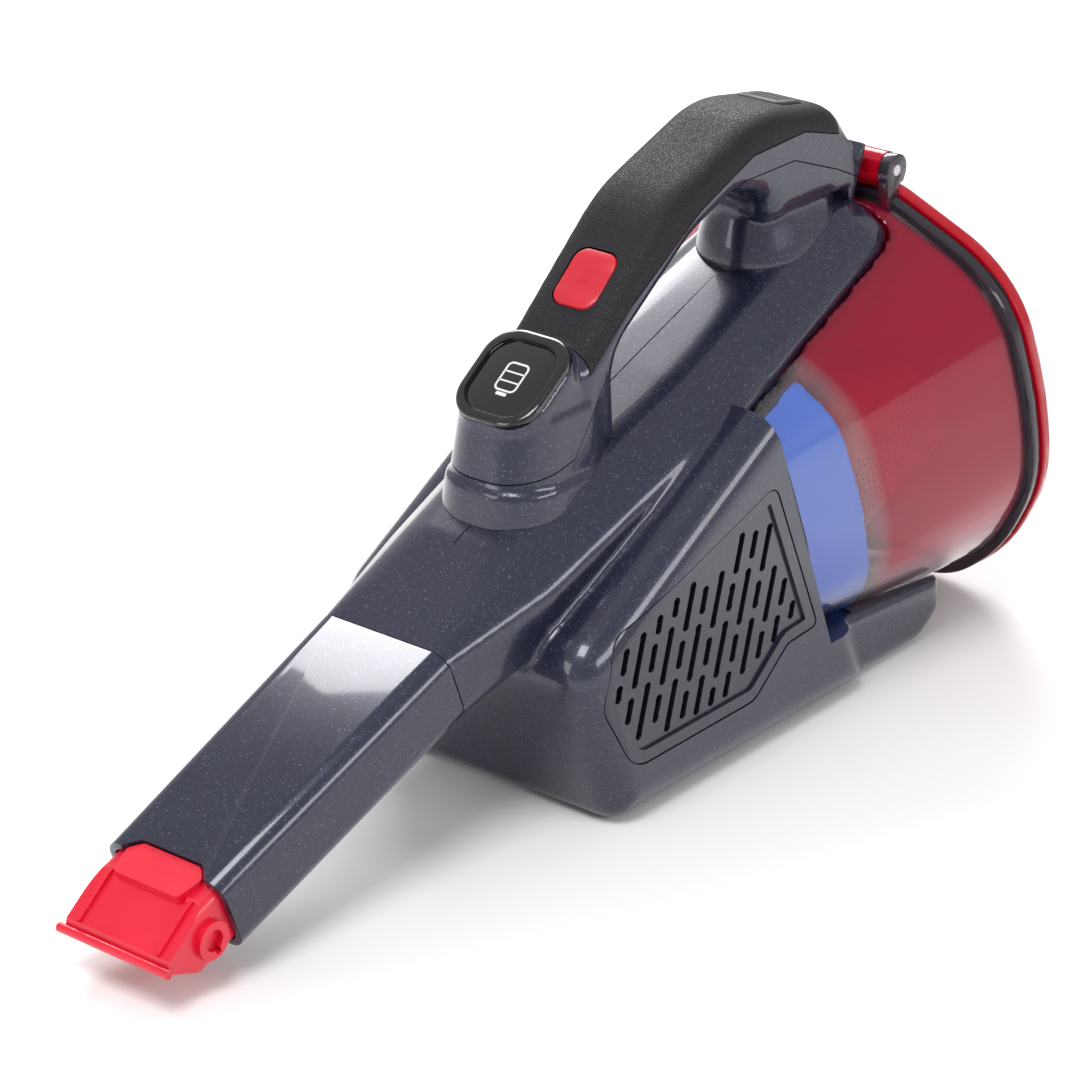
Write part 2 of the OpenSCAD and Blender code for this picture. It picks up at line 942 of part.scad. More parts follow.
module pre_filter() {
    front_u = join_u + frame_d + fit;
    color([0.8, 0.05, 0.2, 0.8])
        on_axis()
            difference() {
                hull() {
                    section(front_u, 2, pre_front);
                    section(70, 2, pre_rear);
                }
                hull() {
                    section(front_u - 1, 2, pre_front, 2);
                    section(68, 2, pre_rear, 2);
                }
                for (i = [0 : 6], k = [0 : 3])
                    translate([front_u + 12 + i * 6, 0, -80 + k * 9])
                        cube([3, 120, 5], center = true);
            }
}
module hinge_pin() {
    color("silver")
        on_axle()
            cylinder(h = barrel_len + 2 * lug_gap + 2 * lug_t, r = pin_r, center = true);
}
module door() {
    color([0.85, 0.1, 0.2, 0.6])
        difference() {
            union() {
                difference() {
                    on_rim()
                        hull() {
                            section(fit, door_t - 3, rim_corners);
                            section(fit, door_t - 1, rim_corners, 2);
                            section(fit, door_t, rim_corners, 8);
                        }
                    on_rim()
                        section(0, door_t - 2.4, rim_corners, 5);
                    for (s = [-1, 1])
                        translate([0, s * (barrel_len / 2 + lug_gap + lug_t / 2), 0])
                            on_axle()
                                cylinder(h = lug_t + 2 * lug_gap, r = 6.8, center = true);
                }
                on_axle()
                    cylinder(h = barrel_len, r = barrel_r, center = true);
                on_rim()
                    translate([fit + 0.6, -barrel_len / 2, -1])
                        cube([4.6, barrel_len, axle_v + 1]);
                on_rim()
                    for (s = [-1, 1])
                        translate([door_t - 0.5, s * 13 - 1, -160])
                            cube([4, 2, 18]);
                on_rim()
                    translate([door_t - 0.5, -14, -144])
                        cube([4, 28, 2]);
            }
            on_axle()
                cylinder(h = barrel_len + 2, r = pin_r + pin_gap, center = true);
        }
}
module door_seal() {
    color("#202024")
        on_rim()
            difference() {
                section(-0.5, 0.6, rim_corners, 4.2);
                section(-1, 2, rim_corners, 6.2);
            }
}
module door_latch() {
    color("#b3122c")
        on_rim() {
            translate([door_t + fit + 0.2, -11.4, -158])
                cube([2.4, 22.8, 9]);
            translate([door_t + fit + 2, -6, -155])
                cube([1.6, 12, 1.6]);
        }
}
module latch_spring() {
    color("silver")
        on_rim()
            translate([door_t + fit + 1.5, 0, -148.9])
                coil(4.8, 1, 0.2, 5);
}

nozzle();
crevice_tool();
body_left();
body_right();
handle_lower();
handle_upper();
soft_grip();
display_bezel();
display_window();
power_button();
button_spring();
switch();
circuit_board();
bowl_release();
release_spring();
vent_panel_left();
vent_panel_right();
base_plate();
charge_inlet();
battery_holder();
cell_front();
cell_middle();
cell_rear();
motor();
motor_mount();
rotor_shaft();
fan();
fan_shroud();
case_screws();
dust_bowl();
inlet_seal();
intake_flap();
filter_frame();
filter_pleats();
filter_seal();
pre_filter();
hinge_pin();
door();
door_seal();
door_latch();
latch_spring();
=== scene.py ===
"""A cordless handheld vacuum: sloping duct, slide-out crevice tool, looped grip and clear dust bowl."""

import math

import bmesh
import bpy
from mathutils import Matrix, Vector


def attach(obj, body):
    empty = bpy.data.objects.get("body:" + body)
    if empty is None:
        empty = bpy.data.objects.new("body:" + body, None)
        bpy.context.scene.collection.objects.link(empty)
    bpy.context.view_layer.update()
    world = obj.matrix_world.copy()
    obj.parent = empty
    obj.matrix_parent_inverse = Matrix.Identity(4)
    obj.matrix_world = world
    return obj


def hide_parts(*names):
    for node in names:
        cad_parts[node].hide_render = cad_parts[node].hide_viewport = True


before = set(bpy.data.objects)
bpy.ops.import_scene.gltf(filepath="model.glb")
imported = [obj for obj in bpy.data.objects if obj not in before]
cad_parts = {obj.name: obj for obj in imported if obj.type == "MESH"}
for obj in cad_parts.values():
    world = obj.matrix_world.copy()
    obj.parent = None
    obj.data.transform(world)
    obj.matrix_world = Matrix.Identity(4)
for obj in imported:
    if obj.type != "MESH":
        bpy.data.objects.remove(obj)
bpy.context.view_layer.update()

bl_info = {
    "name": "Handheld Vacuum",
    "version": (1, 0, 0),
    "blender": (4, 5, 0),
    "location": "View3D > Sidebar > Vacuum",
    "description": "Models a cordless handheld vacuum around its packed frame",
    "category": "Add Mesh",
}

MM = 0.001

# The suction axis slopes up to the rear; u runs along it, w stands square to it
AXIS_TILT = math.radians(21)
AXIS_HEIGHT = 128.5
AXIS = Matrix.Translation((0, 0, AXIS_HEIGHT * MM)) @ Matrix.Rotation(-AXIS_TILT, 4, "Y")
RIM_TILT = math.radians(15)
RIM = Matrix.Translation((0.094, 0, 0.169)) @ Matrix.Rotation(-RIM_TILT, 4, "Y")
# An outline drawn in XY, stood up as a cross-section (normal +X) or a side view (normal -Y)
CROSS = Matrix(((0, 0, 1, 0), (1, 0, 0, 0), (0, 1, 0, 0), (0, 0, 0, 1)))
SIDE = Matrix(((1, 0, 0, 0), (0, 0, -1, 0), (0, 1, 0, 0), (0, 0, 0, 1)))
# Lays a rod's length across the vacuum
ACROSS = Matrix.Rotation(math.radians(90), 4, "X")
AXIS_FORWARD = Vector((math.cos(AXIS_TILT), 0, math.sin(AXIS_TILT)))
RIM_FORWARD = Vector((math.cos(RIM_TILT), 0, math.sin(RIM_TILT)))

SEAM_U = -166
MOUTH_U = -279
JOIN_U = -20
DUCT_END_U = 92
DUCT_TOP = 16
DUCT_FLOOR = -19
NOZZLE_TOP = 10
NOZZLE_LOW = -19
WALL = 2.4
BOWL_GAP = 0.8
FRAME_DEPTH = 30
MOTOR_W = -56
HOUSING_HALF = 56.5
HOUSING_EDGE = 12
FOOT_HALF = 50
LUG_Y = 24.4
AXLE_N = 1
AXLE_V = 9
PORT_U = 50
PORT_LONG = 28
PORT_WIDE = 32


def shift(x, y=0, z=0):
    """A move, in millimetres."""
    return Matrix.Translation((x * MM, y * MM, z * MM))


def on_side(u, w):
    """Where a place on the sloping axis lies in the side view, in millimetres."""
    return (
        u * math.cos(AXIS_TILT) - w * math.sin(AXIS_TILT),
        AXIS_HEIGHT + u * math.sin(AXIS_TILT) + w * math.cos(AXIS_TILT),
    )


def both(corners):
    """The right-hand corners, top to bottom, and their mirror image."""
    return corners + [(-x, y, r) for x, y, r in reversed(corners)]


def tube(half, top, low, radius):
    return both([(half, top, radius), (half, low, radius)])


def duct(half, top):
    return both([(half * 0.55, top, 24), (half, top - 13, 8), (half - 2, DUCT_FLOOR, 5)])


SHOULDER = on_side(JOIN_U + 18, 8)
HOUSING_SIDE = [
    (-101, 0.8, 8), (-125, 66, 18), (SHOULDER[0], SHOULDER[1], 4),
    (SHOULDER[0] + SHOULDER[1] * math.tan(AXIS_TILT), 0.8, 2),
]
FOOT_SIDE = [(-20, 0.8, 1), (87, 0.8, 12), (99, 9, 4), (99, 24, 3), (20, 30, 4), (-20, 30, 1)]
BOWL_FRONT = both([(40, 0, 12), (55, -14, 14), (55.5, -52, 60), (51, -90, 22), (30, -103, 24)])
RIM_OUTLINE = both([
    (22, 3, 34), (73, -25, 50), (79, -75, 150), (77, -112, 75), (57, -149, 85), (30, -171, 38),
])
HANDLE_SIDE = [
    (-80, 112, 1), (-80, 150, 3), (-72.5, 155.5, 4), (-27, 195.5, 60), (26, 214.5, 44), (67, 207, 20),
    (83, 186, 18), (78, 172, 6), (28, 172, 6), (25, 184, 9), (8, 189, 12), (-16, 180, 40), (-58, 150, 16),
    (-56, 118, 1),
]
VENT_SIDE = [
    (-106, 72, 12), (-112, 50, 14), (-96, 22, 14), (-28, 22, 10), (-9, 37, 6), (8.5, 38, 2), (-18.5, 100, 5),
]
SPLIT_LINE = [
    (-130, 114), (-84, 122), (-66, 143), (-50, 160), (-14, 184.5), (12, 194), (40, 194), (66, 184), (100, 168),
]
GRIP_LINE = [(-73, 148), (-52, 166), (-14, 190), (16, 202), (46, 203), (66, 197)]


# ---- drawing and shaping ----


def select_only(*objects):
    """Object mode, with just these selected and the first one active."""
    if bpy.context.object and bpy.context.object.mode != "OBJECT":
        bpy.ops.object.mode_set(mode="OBJECT")
    bpy.ops.object.select_all(action="DESELECT")
    for obj in objects:
        obj.select_set(True)
    if objects:
        bpy.context.view_layer.objects.active = objects[0]


def round_outline(corners, step=7.0):
    """The points of an outline whose corners (x, y, radius) are rounded, in millimetres."""
    points = []
    for i, (x, y, radius) in enumerate(corners):
        here = Vector((x, y))
        back = (Vector(corners[i - 1][:2]) - here).normalized()
        ahead = (Vector(corners[(i + 1) % len(corners)][:2]) - here).normalized()
        half = back.angle(ahead) / 2
        centre = here + (back + ahead).normalized() * radius / math.sin(half)
        start = here + back * radius / math.tan(half) - centre
        end = here + ahead * radius / math.tan(half) - centre
        first = math.atan2(start.y, start.x)
        turn = (math.atan2(end.y, end.x) - first + 3 * math.pi) % (2 * math.pi) - math.pi
        count = max(2, round(abs(math.degrees(turn)) / step))
        for k in range(count + 1):
            angle = first + turn * k / count
            points.append(centre + radius * Vector((math.cos(angle), math.sin(angle))))
    return points


def draw_in(points, distance):
    """The outline moved inwards by a distance (outwards if it is negative)."""
    if not distance:
        return points
    area = sum(a.x * b.y - b.x * a.y for a, b in zip(points, points[1:] + points[:1]))
    side = 1 if area > 0 else -1
    moved = []
    for i, here in enumerate(points):
        back = (here - points[i - 1]).normalized()
        ahead = (points[(i + 1) % len(points)] - here).normalized()
        across = Vector((-(back + ahead).y, (back + ahead).x)).normalized() * side
        normal = Vector((-back.y, back.x)) * side
        moved.append(here + across * distance / max(0.5, across.dot(normal)))
    return moved


def outline_at(corners, inset=0.0):
    """An outline drawn in, whose corners stay round however far in it is."""
    return draw_in(round_outline([(x, y, max(r, inset + 0.5)) for x, y, r in corners], 5.0), inset)


def apply_place(obj, matrix):
    """Moves a new object by a matrix, into its mesh."""
    obj.matrix_world = matrix @ obj.matrix_world
    select_only(obj)
    bpy.ops.object.transform_apply(location=True, rotation=True, scale=True)
    return obj


def prism(points, low, high, matrix):
    """An outline extruded from low to high, in millimetres, then put in place."""
    select_only()
    bpy.ops.mesh.primitive_circle_add(vertices=len(points), radius=MM, fill_type="NGON")
    obj = bpy.context.object
    for vert, point in zip(obj.data.vertices, points):
        vert.co = (point.x * MM, point.y * MM, low * MM)
    bpy.ops.object.mode_set(mode="EDIT")
    bpy.ops.mesh.select_all(action="SELECT")
    bpy.ops.mesh.extrude_region_move(TRANSFORM_OT_translate={"value": (0, 0, (high - low) * MM)})
    bpy.ops.mesh.select_all(action="SELECT")
    bpy.ops.mesh.normals_make_consistent(inside=False)
    bpy.ops.object.mode_set(mode="OBJECT")
    return apply_place(obj, matrix)


def cross_section(u, thick, corners, inset=0.0, matrix=AXIS):
    return prism(outline_at(corners, inset), u, u + thick, matrix @ CROSS)


def side_cutter(points, width=140.0, y=0.0):
    """An outline in the side view, as wide as given and moved towards -Y by y."""
    return prism(points, -width / 2 - y, width / 2 - y, SIDE)


def rounded_slabs(half, edge, inwards, corners, turns, inset=0.0):
    """Slabs of one side view that narrow and grow by turns, so together they round its long edges."""
    return [
        side_cutter(outline_at(corners, inset + inwards * (1 - math.cos(t))), 2 * (half - edge * (1 - math.sin(t))))
        for t in map(math.radians, turns)
    ]


def block(x, y, z, matrix=Matrix.Identity(4)):
    """A cutting block between pairs of limits, in millimetres."""
    points = [Vector((x[0], y[0])), Vector((x[1], y[0])), Vector((x[1], y[1])), Vector((x[0], y[1]))]
    return prism(points, z[0], z[1], matrix)


def rounded_pad(long, wide, low, high, radius, matrix):
    corners = [(-long / 2, -wide / 2, radius), (long / 2, -wide / 2, radius), (long / 2, wide / 2, radius),
               (-long / 2, wide / 2, radius)]
    return prism(round_outline(corners), low, high, matrix)


def rod(radius, low, high, matrix, sides=40):
    select_only()
    bpy.ops.mesh.primitive_cylinder_add(
        vertices=sides, radius=radius * MM, depth=(high - low) * MM, location=(0, 0, (high + low) / 2 * MM)
    )
    return apply_place(bpy.context.object, matrix)


def join(name, objects):
    select_only(*objects)
    if len(objects) > 1:
        bpy.ops.object.join()
    obj = bpy.context.object
    obj.name = name
    obj.data.name = name
    return obj


def hull(objects):
    """One convex skin round several shapes."""
    obj = join("hull", objects)
    bpy.ops.object.mode_set(mode="EDIT")
    bpy.ops.mesh.select_all(action="SELECT")
    bpy.ops.mesh.delete(type="EDGE_FACE")
    bpy.ops.mesh.select_all(action="SELECT")
    bpy.ops.mesh.convex_hull()
    bpy.ops.mesh.select_all(action="SELECT")
    bpy.ops.mesh.normals_make_consistent(inside=False)
    bpy.ops.object.mode_set(mode="OBJECT")
    return obj


def modify(obj, kind, **settings):
    """Adds a modifier with its settings and applies it."""
    select_only(obj)
    bpy.ops.object.modifier_add(type=kind)
    modifier = obj.modifiers[-1]
    for key, value in settings.items():
        setattr(modifier, key, value)
    bpy.ops.object.modifier_apply(modifier=modifier.name)
    return obj


def combine(obj, other, operation="DIFFERENCE"):
    """A boolean with another shape, which is used up."""
    modify(obj, "BOOLEAN", object=other, operation=operation, solver="MANIFOLD")
    select_only(other)
    bpy.ops.object.delete()
    return obj


def copy_of(obj):
    select_only(obj)
    bpy.ops.object.duplicate()
    return bpy.context.object


def mould(obj, voxel, rounds):
    """Remeshes a blocked-out shape and softens it, so its corners get moulded radii (voxel in metres)."""
    modify(obj, "REMESH", mode="VOXEL", voxel_size=voxel, adaptivity=0)
    modify(obj, "SMOOTH", factor=0.5, iterations=rounds)
    return obj


def slice_off(obj, point, normal, fill=True):
    """Cuts away what lies on the normal's side of a plane (point in millimetres)."""
    select_only(obj)
    bpy.ops.object.mode_set(mode="EDIT")
    bpy.ops.mesh.select_all(action="SELECT")
    bpy.ops.mesh.bisect(
        plane_co=Vector(point) * MM, plane_no=normal, use_fill=fill, clear_outer=True, threshold=1e-6
    )
    bpy.ops.object.mode_set(mode="OBJECT")
    return obj


def soften(obj, width, segments=2, angle=35):
    """A small moulded radius on a shape's sharp edges."""
    return modify(
        obj, "BEVEL", width=width * MM, segments=segments, limit_method="ANGLE",
        angle_limit=math.radians(angle), use_clamp_overlap=True,
    )


def finish(obj, name, material, body, slot, *nodes, angle=35):
    """Names a piece, shades it, gives it its material and its body, and hides the frame nodes it stands for."""
    select_only(obj)
    obj.name = name
    obj.data.name = name
    bpy.ops.object.mode_set(mode="EDIT")
    bpy.ops.mesh.select_all(action="SELECT")
    bpy.ops.mesh.remove_doubles(threshold=1e-6)
    bpy.ops.mesh.select_all(action="DESELECT")
    bpy.ops.object.mode_set(mode="OBJECT")
    bpy.ops.object.shade_smooth_by_angle(angle=math.radians(angle))
    obj.data.materials.clear()
    obj.data.materials.append(material)
    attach(obj, body)
    if nodes:
        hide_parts(*nodes)
    return obj


def skin_place(x, z, slope):
    """A frame on the handle's skin, with +Z outwards."""
    return shift(x, 0, z) @ Matrix.Rotation(-math.radians(slope), 4, "Y")


DISPLAY = skin_place(-91.6, 148, 35)
POWER = skin_place(-52.6, 171.5, 40)
RELEASE = skin_place(50, 210.1, -10.4)


# ---- materials ----


def linear(code):
    """An sRGB hex colour as linear RGBA."""
    values = [int(code.lstrip("#")[i:i + 2], 16) / 255 for i in (0, 2, 4)]
    return [v / 12.92 if v <= 0.04045 else ((v + 0.055) / 1.055) ** 2.4 for v in values] + [1.0]


def shade(color, factor):
    """A linear colour made darker or lighter."""
    return [min(1.0, v * factor) for v in color[:3]] + [1.0]


def chosen(name):
    """The colour that the settings hold for a finish."""
    return list(getattr(bpy.context.scene.vacuum_colors, name))


def add_node(material, kind, settings=None, links=None, stops=(), feeds=None, **values):
    """Adds a shader node: its settings, socket values and ramp stops, what feeds it, and the socket it feeds."""
    tree = material.node_tree
    node = tree.nodes.new(kind)
    for key, value in (settings or {}).items():
        setattr(node, key, value)
    for key, value in values.items():
        node.inputs[key.replace("_", " ")].default_value = value
    for key, source in (links or {}).items():
        tree.links.new(source, node.inputs[key])
    if stops:
        while len(node.color_ramp.elements) < len(stops):
            node.color_ramp.elements.new(0.5)
        for element, (position, level) in zip(node.color_ramp.elements, stops):
            element.position = position
            element.color = level if isinstance(level, list) else (level, level, level, 1)
    if feeds:
        tree.links.new(node.outputs[0], feeds[0].inputs[feeds[1]])
    return node


def surface(name, **values):
    """A material with its main shader, and Object coordinates for its patterns."""
    material = bpy.data.materials.get(name)
    if material:
        return material, None, None
    material = bpy.data.materials.new(name)
    material.use_nodes = True
    shader = material.node_tree.nodes["Principled BSDF"]
    for key, value in values.items():
        shader.inputs[key.replace("_", " ")].default_value = value
    place = add_node(material, "ShaderNodeTexCoord").outputs["Object"]
    return material, shader, place


def follow(material, shader, pattern, ends, **levels):
    """Lets sockets of the shader run from one level to another as a pattern does."""
    for key, (low, high) in levels.items():
        add_node(material, "ShaderNodeValToRGB", links={"Fac": pattern}, stops=((ends[0], low), (ends[1], high)),
                 feeds=(shader, key.replace("_", " ")))


def uneven_skin(material, shader, place, scale, detail, depth, strength):
    """The skin's fine unevenness: how close, how varied and how deep its bumps are."""
    grain = add_node(material, "ShaderNodeTexNoise", links={"Vector": place}, Scale=scale, Detail=detail)
    add_node(material, "ShaderNodeBump", links={"Height": grain.outputs["Fac"]}, Distance=depth, Strength=strength,
             feeds=(shader, "Normal"))


def flake_abs(name, color, spark):
    """Moulded ABS with metal flake: a satin skin with a fine bright sparkle under a clear film."""
    material, shader, place = surface(
        name, Metallic=0.3, Coat_Weight=0.7, Coat_Roughness=0.06, Specular_IOR_Level=0.5
    )
    if shader:
        # flakes are about 0.1 mm; cells of 0.45 mm are the finest that show
        cells = add_node(material, "ShaderNodeTexVoronoi", {"feature": "F1"}, {"Vector": place}, Scale=1 / 0.00045)
        add_node(material, "ShaderNodeValToRGB", links={"Fac": cells.outputs["Color"]},
                 stops=((0.0, color), (0.8, color), (0.97, linear(spark))), feeds=(shader, "Base Color"))
        drift = add_node(material, "ShaderNodeTexNoise", links={"Vector": place}, Scale=35.0, Detail=3.0)
        follow(material, shader, drift.outputs["Fac"], (0.3, 0.7), Roughness=(0.24, 0.32))
        uneven_skin(material, shader, place, 2600.0, 2.0, 0.00002, 0.35)
    return material


def plain_abs(name, color, roughness, coat=0.2):
    """Moulded ABS in one colour: smooth, with the faintest orange peel and handling marks."""
    material, shader, place = surface(name, Coat_Weight=coat, Coat_Roughness=0.1, IOR=1.53)
    if shader:
        drift = add_node(material, "ShaderNodeTexNoise", links={"Vector": place}, Scale=60.0, Detail=4.0)
        follow(material, shader, drift.outputs["Fac"], (0.3, 0.7), Base_Color=(shade(color, 0.93), shade(color, 1.05)),
               Roughness=(roughness * 0.85, roughness * 1.15))
        uneven_skin(material, shader, place, 420.0, 2.0, 0.00003, 0.25)
    return material


def grained_rubber(name, color, cell, depth):
    """Moulded thermoplastic rubber with a leather grain: dull, with small raised cells and painted shade in the grooves
    between them.
    """
    material, shader, place = surface(name, IOR=1.5, Specular_IOR_Level=0.35)
    if shader:
        edge = add_node(
            material, "ShaderNodeTexVoronoi", {"feature": "DISTANCE_TO_EDGE"}, {"Vector": place}, Scale=1 / cell
        ).outputs["Distance"]
        # painted shade: the colour darkens in the grooves between the raised cells, where the bump sinks
        follow(material, shader, edge, (0.0, 0.2), Base_Color=(shade(color, 0.55), color))
        follow(material, shader, edge, (0.0, 0.3), Roughness=(0.7, 0.48))
        raised = add_node(material, "ShaderNodeValToRGB", links={"Fac": edge},
                          stops=((0.0, 0.0), (0.18, 0.85), (0.5, 1.0)))
        add_node(material, "ShaderNodeBump", links={"Height": raised.outputs["Color"]}, Distance=depth, Strength=0.6,
                 feeds=(shader, "Normal"))
    return material


def drawn_metal(name, color, roughness):
    """Drawn or turned steel: bright, with fine lines round it."""
    material, shader, place = surface(name, Metallic=1.0)
    if shader:
        lines = add_node(material, "ShaderNodeTexNoise", links={"Vector": place}, Scale=1500.0, Detail=2.0)
        follow(material, shader, lines.outputs["Fac"], (0.3, 0.7), Base_Color=(shade(color, 0.85), color),
               Roughness=(roughness * 0.8, roughness * 1.3))
    return material


def folded_paper(name, color):
    """Pleated filter paper: matte fibres, a little uneven in tone."""
    material, shader, place = surface(name, Roughness=0.9, Sheen_Weight=0.2)
    if shader:
        fibre = add_node(material, "ShaderNodeTexNoise", links={"Vector": place}, Scale=900.0, Detail=6.0)
        follow(material, shader, fibre.outputs["Fac"], (0.35, 0.65), Base_Color=(shade(color, 0.8), color))
        add_node(material, "ShaderNodeBump", links={"Height": fibre.outputs["Fac"]}, Distance=0.0001, Strength=0.6,
                 feeds=(shader, "Normal"))
    return material


def body_finish():
    return flake_abs("Flake ABS, slate", chosen("body"), "#5c5f7c")


def panel_finish():
    return flake_abs("Flake ABS, dark slate", chosen("panel"), "#4a4c64")


def grip_finish():
    return grained_rubber("Grained TPE, black", chosen("grip"), 0.0011, 0.00012)


def seal_finish():
    return grained_rubber("Moulded rubber, black", linear("#202024"), 0.0006, 0.00003)


def black_finish():
    return plain_abs("Textured ABS, black", linear("#15151a"), 0.5, 0.0)


def gloss_black_finish():
    return plain_abs("Polished acrylic, black", chosen("display"), 0.12, 0.6)


def tool_finish():
    return plain_abs("Moulded ABS, bright red", chosen("tool"), 0.34)


def button_finish():
    return plain_abs("Moulded ABS, red", chosen("button"), 0.38)


def blue_finish():
    return plain_abs("Moulded polypropylene, blue", chosen("filter_frame"), 0.42, 0.0)


def pre_filter_finish():
    return plain_abs("Moulded polypropylene, crimson", chosen("pre_filter"), 0.4, 0.1)


def bowl_finish():
    """Clear polycarbonate: water-clear round the filter frame and underneath, red behind it, smoky at the rim."""
    material, shader, place = surface("Clear polycarbonate, tinted", IOR=1.3, Coat_Weight=0.4, Coat_Roughness=0.03)
    if shader:
        # where each mask starts and is full along its direction, in metres
        masks = []
        for direction, start, full in (
            (AXIS_FORWARD, 0.055, 0.066), ((0, 0, 1), 0.024, 0.046), (RIM_FORWARD, 0.1270, 0.1290),
        ):
            dot = add_node(material, "ShaderNodeVectorMath", {"operation": "DOT_PRODUCT"}, {0: place})
            dot.inputs[1].default_value = direction
            masks.append(add_node(material, "ShaderNodeMapRange", {"clamp": True}, {"Value": dot.outputs["Value"]},
                                  From_Min=start, From_Max=full).outputs["Result"])
        behind, above, rim = masks
        tinted = add_node(material, "ShaderNodeMath", {"operation": "MULTIPLY"}, {0: behind, 1: above}).outputs["Value"]
        tone = add_node(material, "ShaderNodeValToRGB", links={"Fac": tinted},
                        stops=((0.0, chosen("bowl")), (1.0, chosen("bowl_tint"))))
        add_node(material, "ShaderNodeMixRGB", links={"Fac": rim, "Color1": tone.outputs["Color"]},
                 feeds=(shader, "Base Color"), Color2=linear("#5d5563"))
        follow(material, shader, tinted, (0.0, 1.0), Transmission_Weight=(0.97, 0.80))
        drift = add_node(material, "ShaderNodeTexNoise", links={"Vector": place}, Scale=25.0, Detail=2.0)
        follow(material, shader, drift.outputs["Fac"], (0.3, 0.7), Roughness=(0.04, 0.08))
        uneven_skin(material, shader, place, 90.0, 1.0, 0.00004, 0.15)
    return material


def door_finish():
    """Red polycarbonate, see-through: glossy, with a soft haze in the wall."""
    material, shader, place = surface("Clear polycarbonate, red", Transmission_Weight=1.0 - 0.7, IOR=1.35,
                                      Coat_Weight=0.3, Coat_Roughness=0.03)
    if shader:
        drift = add_node(material, "ShaderNodeTexNoise", links={"Vector": place}, Scale=25.0, Detail=2.0)
        follow(material, shader, drift.outputs["Fac"], (0.3, 0.7),
               Base_Color=(shade(chosen("door"), 0.96), chosen("door")), Roughness=(0.10 * 0.8, 0.10 * 1.2))
        uneven_skin(material, shader, place, 90.0, 1.0, 0.00004, 0.15)
    return material


def steel_finish():
    return drawn_metal("Drawn steel", linear("#c9cacd"), 0.28)


# ---- shapes that several pieces share ----


def duct_shape(inset=0.0, start=SEAM_U - 8):
    """The duct's skin from ahead of the nozzle seam to its rounded rear end, drawn in by inset."""
    rings = [
        (start, tube(28 - 0.18 * (SEAM_U - start), NOZZLE_TOP + 0.5 - 0.125 * (SEAM_U - start), DUCT_FLOOR, 7)),
        (SEAM_U, tube(28, NOZZLE_TOP + 0.5, DUCT_FLOOR, 7)),
        (SEAM_U + 44, duct(36, DUCT_TOP)),
        (JOIN_U - 6, duct(41, DUCT_TOP)),
        (DUCT_END_U - 14, duct(33, DUCT_TOP - 1)),
        (DUCT_END_U - 5 - inset, duct(30, DUCT_TOP - 3.2)),
        (DUCT_END_U - 1 - inset, duct(25, DUCT_TOP - 8)),
    ]
    return hull([cross_section(u, 0.5, outline, inset) for u, outline in rings])


def housing_shape(inset=0.0):
    """The motor housing's skin with its rounded edges, drawn in by inset."""
    return hull(rounded_slabs(
        HOUSING_HALF - inset, HOUSING_EDGE, HOUSING_EDGE, HOUSING_SIDE, range(0, 91, 15), inset
    ))


def bowl_shape(inset, front, rear=-0.5):
    """The bowl's skin from its front section to its rim, drawn in by inset, before the duct is taken out."""
    return hull([
        cross_section(front, 1, BOWL_FRONT, inset),
        prism(outline_at(RIM_OUTLINE, 4 + inset), rear - 7.5, rear, RIM @ CROSS),
    ])


def slice_axis(obj, u, sign, fill=True):
    """Cuts off what lies beyond a place on the axis: sign 1 is the rear side, -1 the front."""
    x, z = on_side(u, 0)
    return slice_off(obj, (x, 0, z), AXIS_FORWARD * sign, fill)


def region_above(line, left, right, top):
    """A block over a line drawn in the side view."""
    return side_cutter([Vector(p) for p in line] + [Vector((right, top)), Vector((left, top))], 90)


def wedge_on_axis(points):
    """A cutter whose side view is drawn along the sloping axis."""
    wedge = side_cutter([Vector(p) for p in points])
    wedge.matrix_world = AXIS
    return apply_place(wedge, Matrix.Identity(4))


# ---- settings ----


def length_setting(name, what, size, least):
    return bpy.props.FloatProperty(
        name=name, description=what, default=size * MM, min=least * MM, unit="LENGTH", precision=5)


class VacuumSizes(bpy.types.PropertyGroup):
    body_voxel: length_setting("Body detail", "Finest detail of the moulded body shells", 1.15, 0.8)
    handle_voxel: length_setting("Handle detail", "Finest detail of the handle shells", 0.9, 0.6)
    bowl_voxel: length_setting("Bowl detail", "Finest detail of the clear bowl", 1.3, 0.9)
    seam_gap: length_setting("Seam gap", "Width of the parting seams", 0.45, 0.1)
    slot_width: length_setting("Slot width", "Width of a vent slot", 3.6, 1.0)
    slot_pitch: length_setting("Slot pitch", "Distance from one column of slots to the next", 7.9, 4.0)
    mesh_pitch: length_setting("Mesh pitch", "Distance between the pre-filter's holes", 2.8, 2.0)


def color_setting(name, what, code):
    return bpy.props.FloatVectorProperty(
        name=name, description=f"Colour of the {what}", default=linear(code), subtype="COLOR", size=4, min=0, max=1)


class VacuumColors(bpy.types.PropertyGroup):
    body: color_setting("Body", "body shells", "#212337")
    panel: color_setting("Vent panel", "vent panels", "#1e2030")
    grip: color_setting("Grip", "soft grip", "#121117")
    display: color_setting("Display", "display and its bezel", "#09090d")
    tool: color_setting("Crevice tool", "crevice tool", "#d4062c")
    button: color_setting("Button", "power button", "#c00d26")
    filter_frame: color_setting("Filter frame", "filter frame", "#2f7cf0")
    pre_filter: color_setting("Pre-filter", "pre-filter", "#c00a30")
    bowl: color_setting("Bowl", "clear bowl", "#eeeaf0")
    bowl_tint: color_setting("Bowl tint", "tinted rear of the bowl", "#d81f52")
    door: color_setting("Door", "bowl door", "#c00a24")


class Piece:
    """What the operators share."""

    bl_options = {"REGISTER", "UNDO"}


# ---- pieces ----


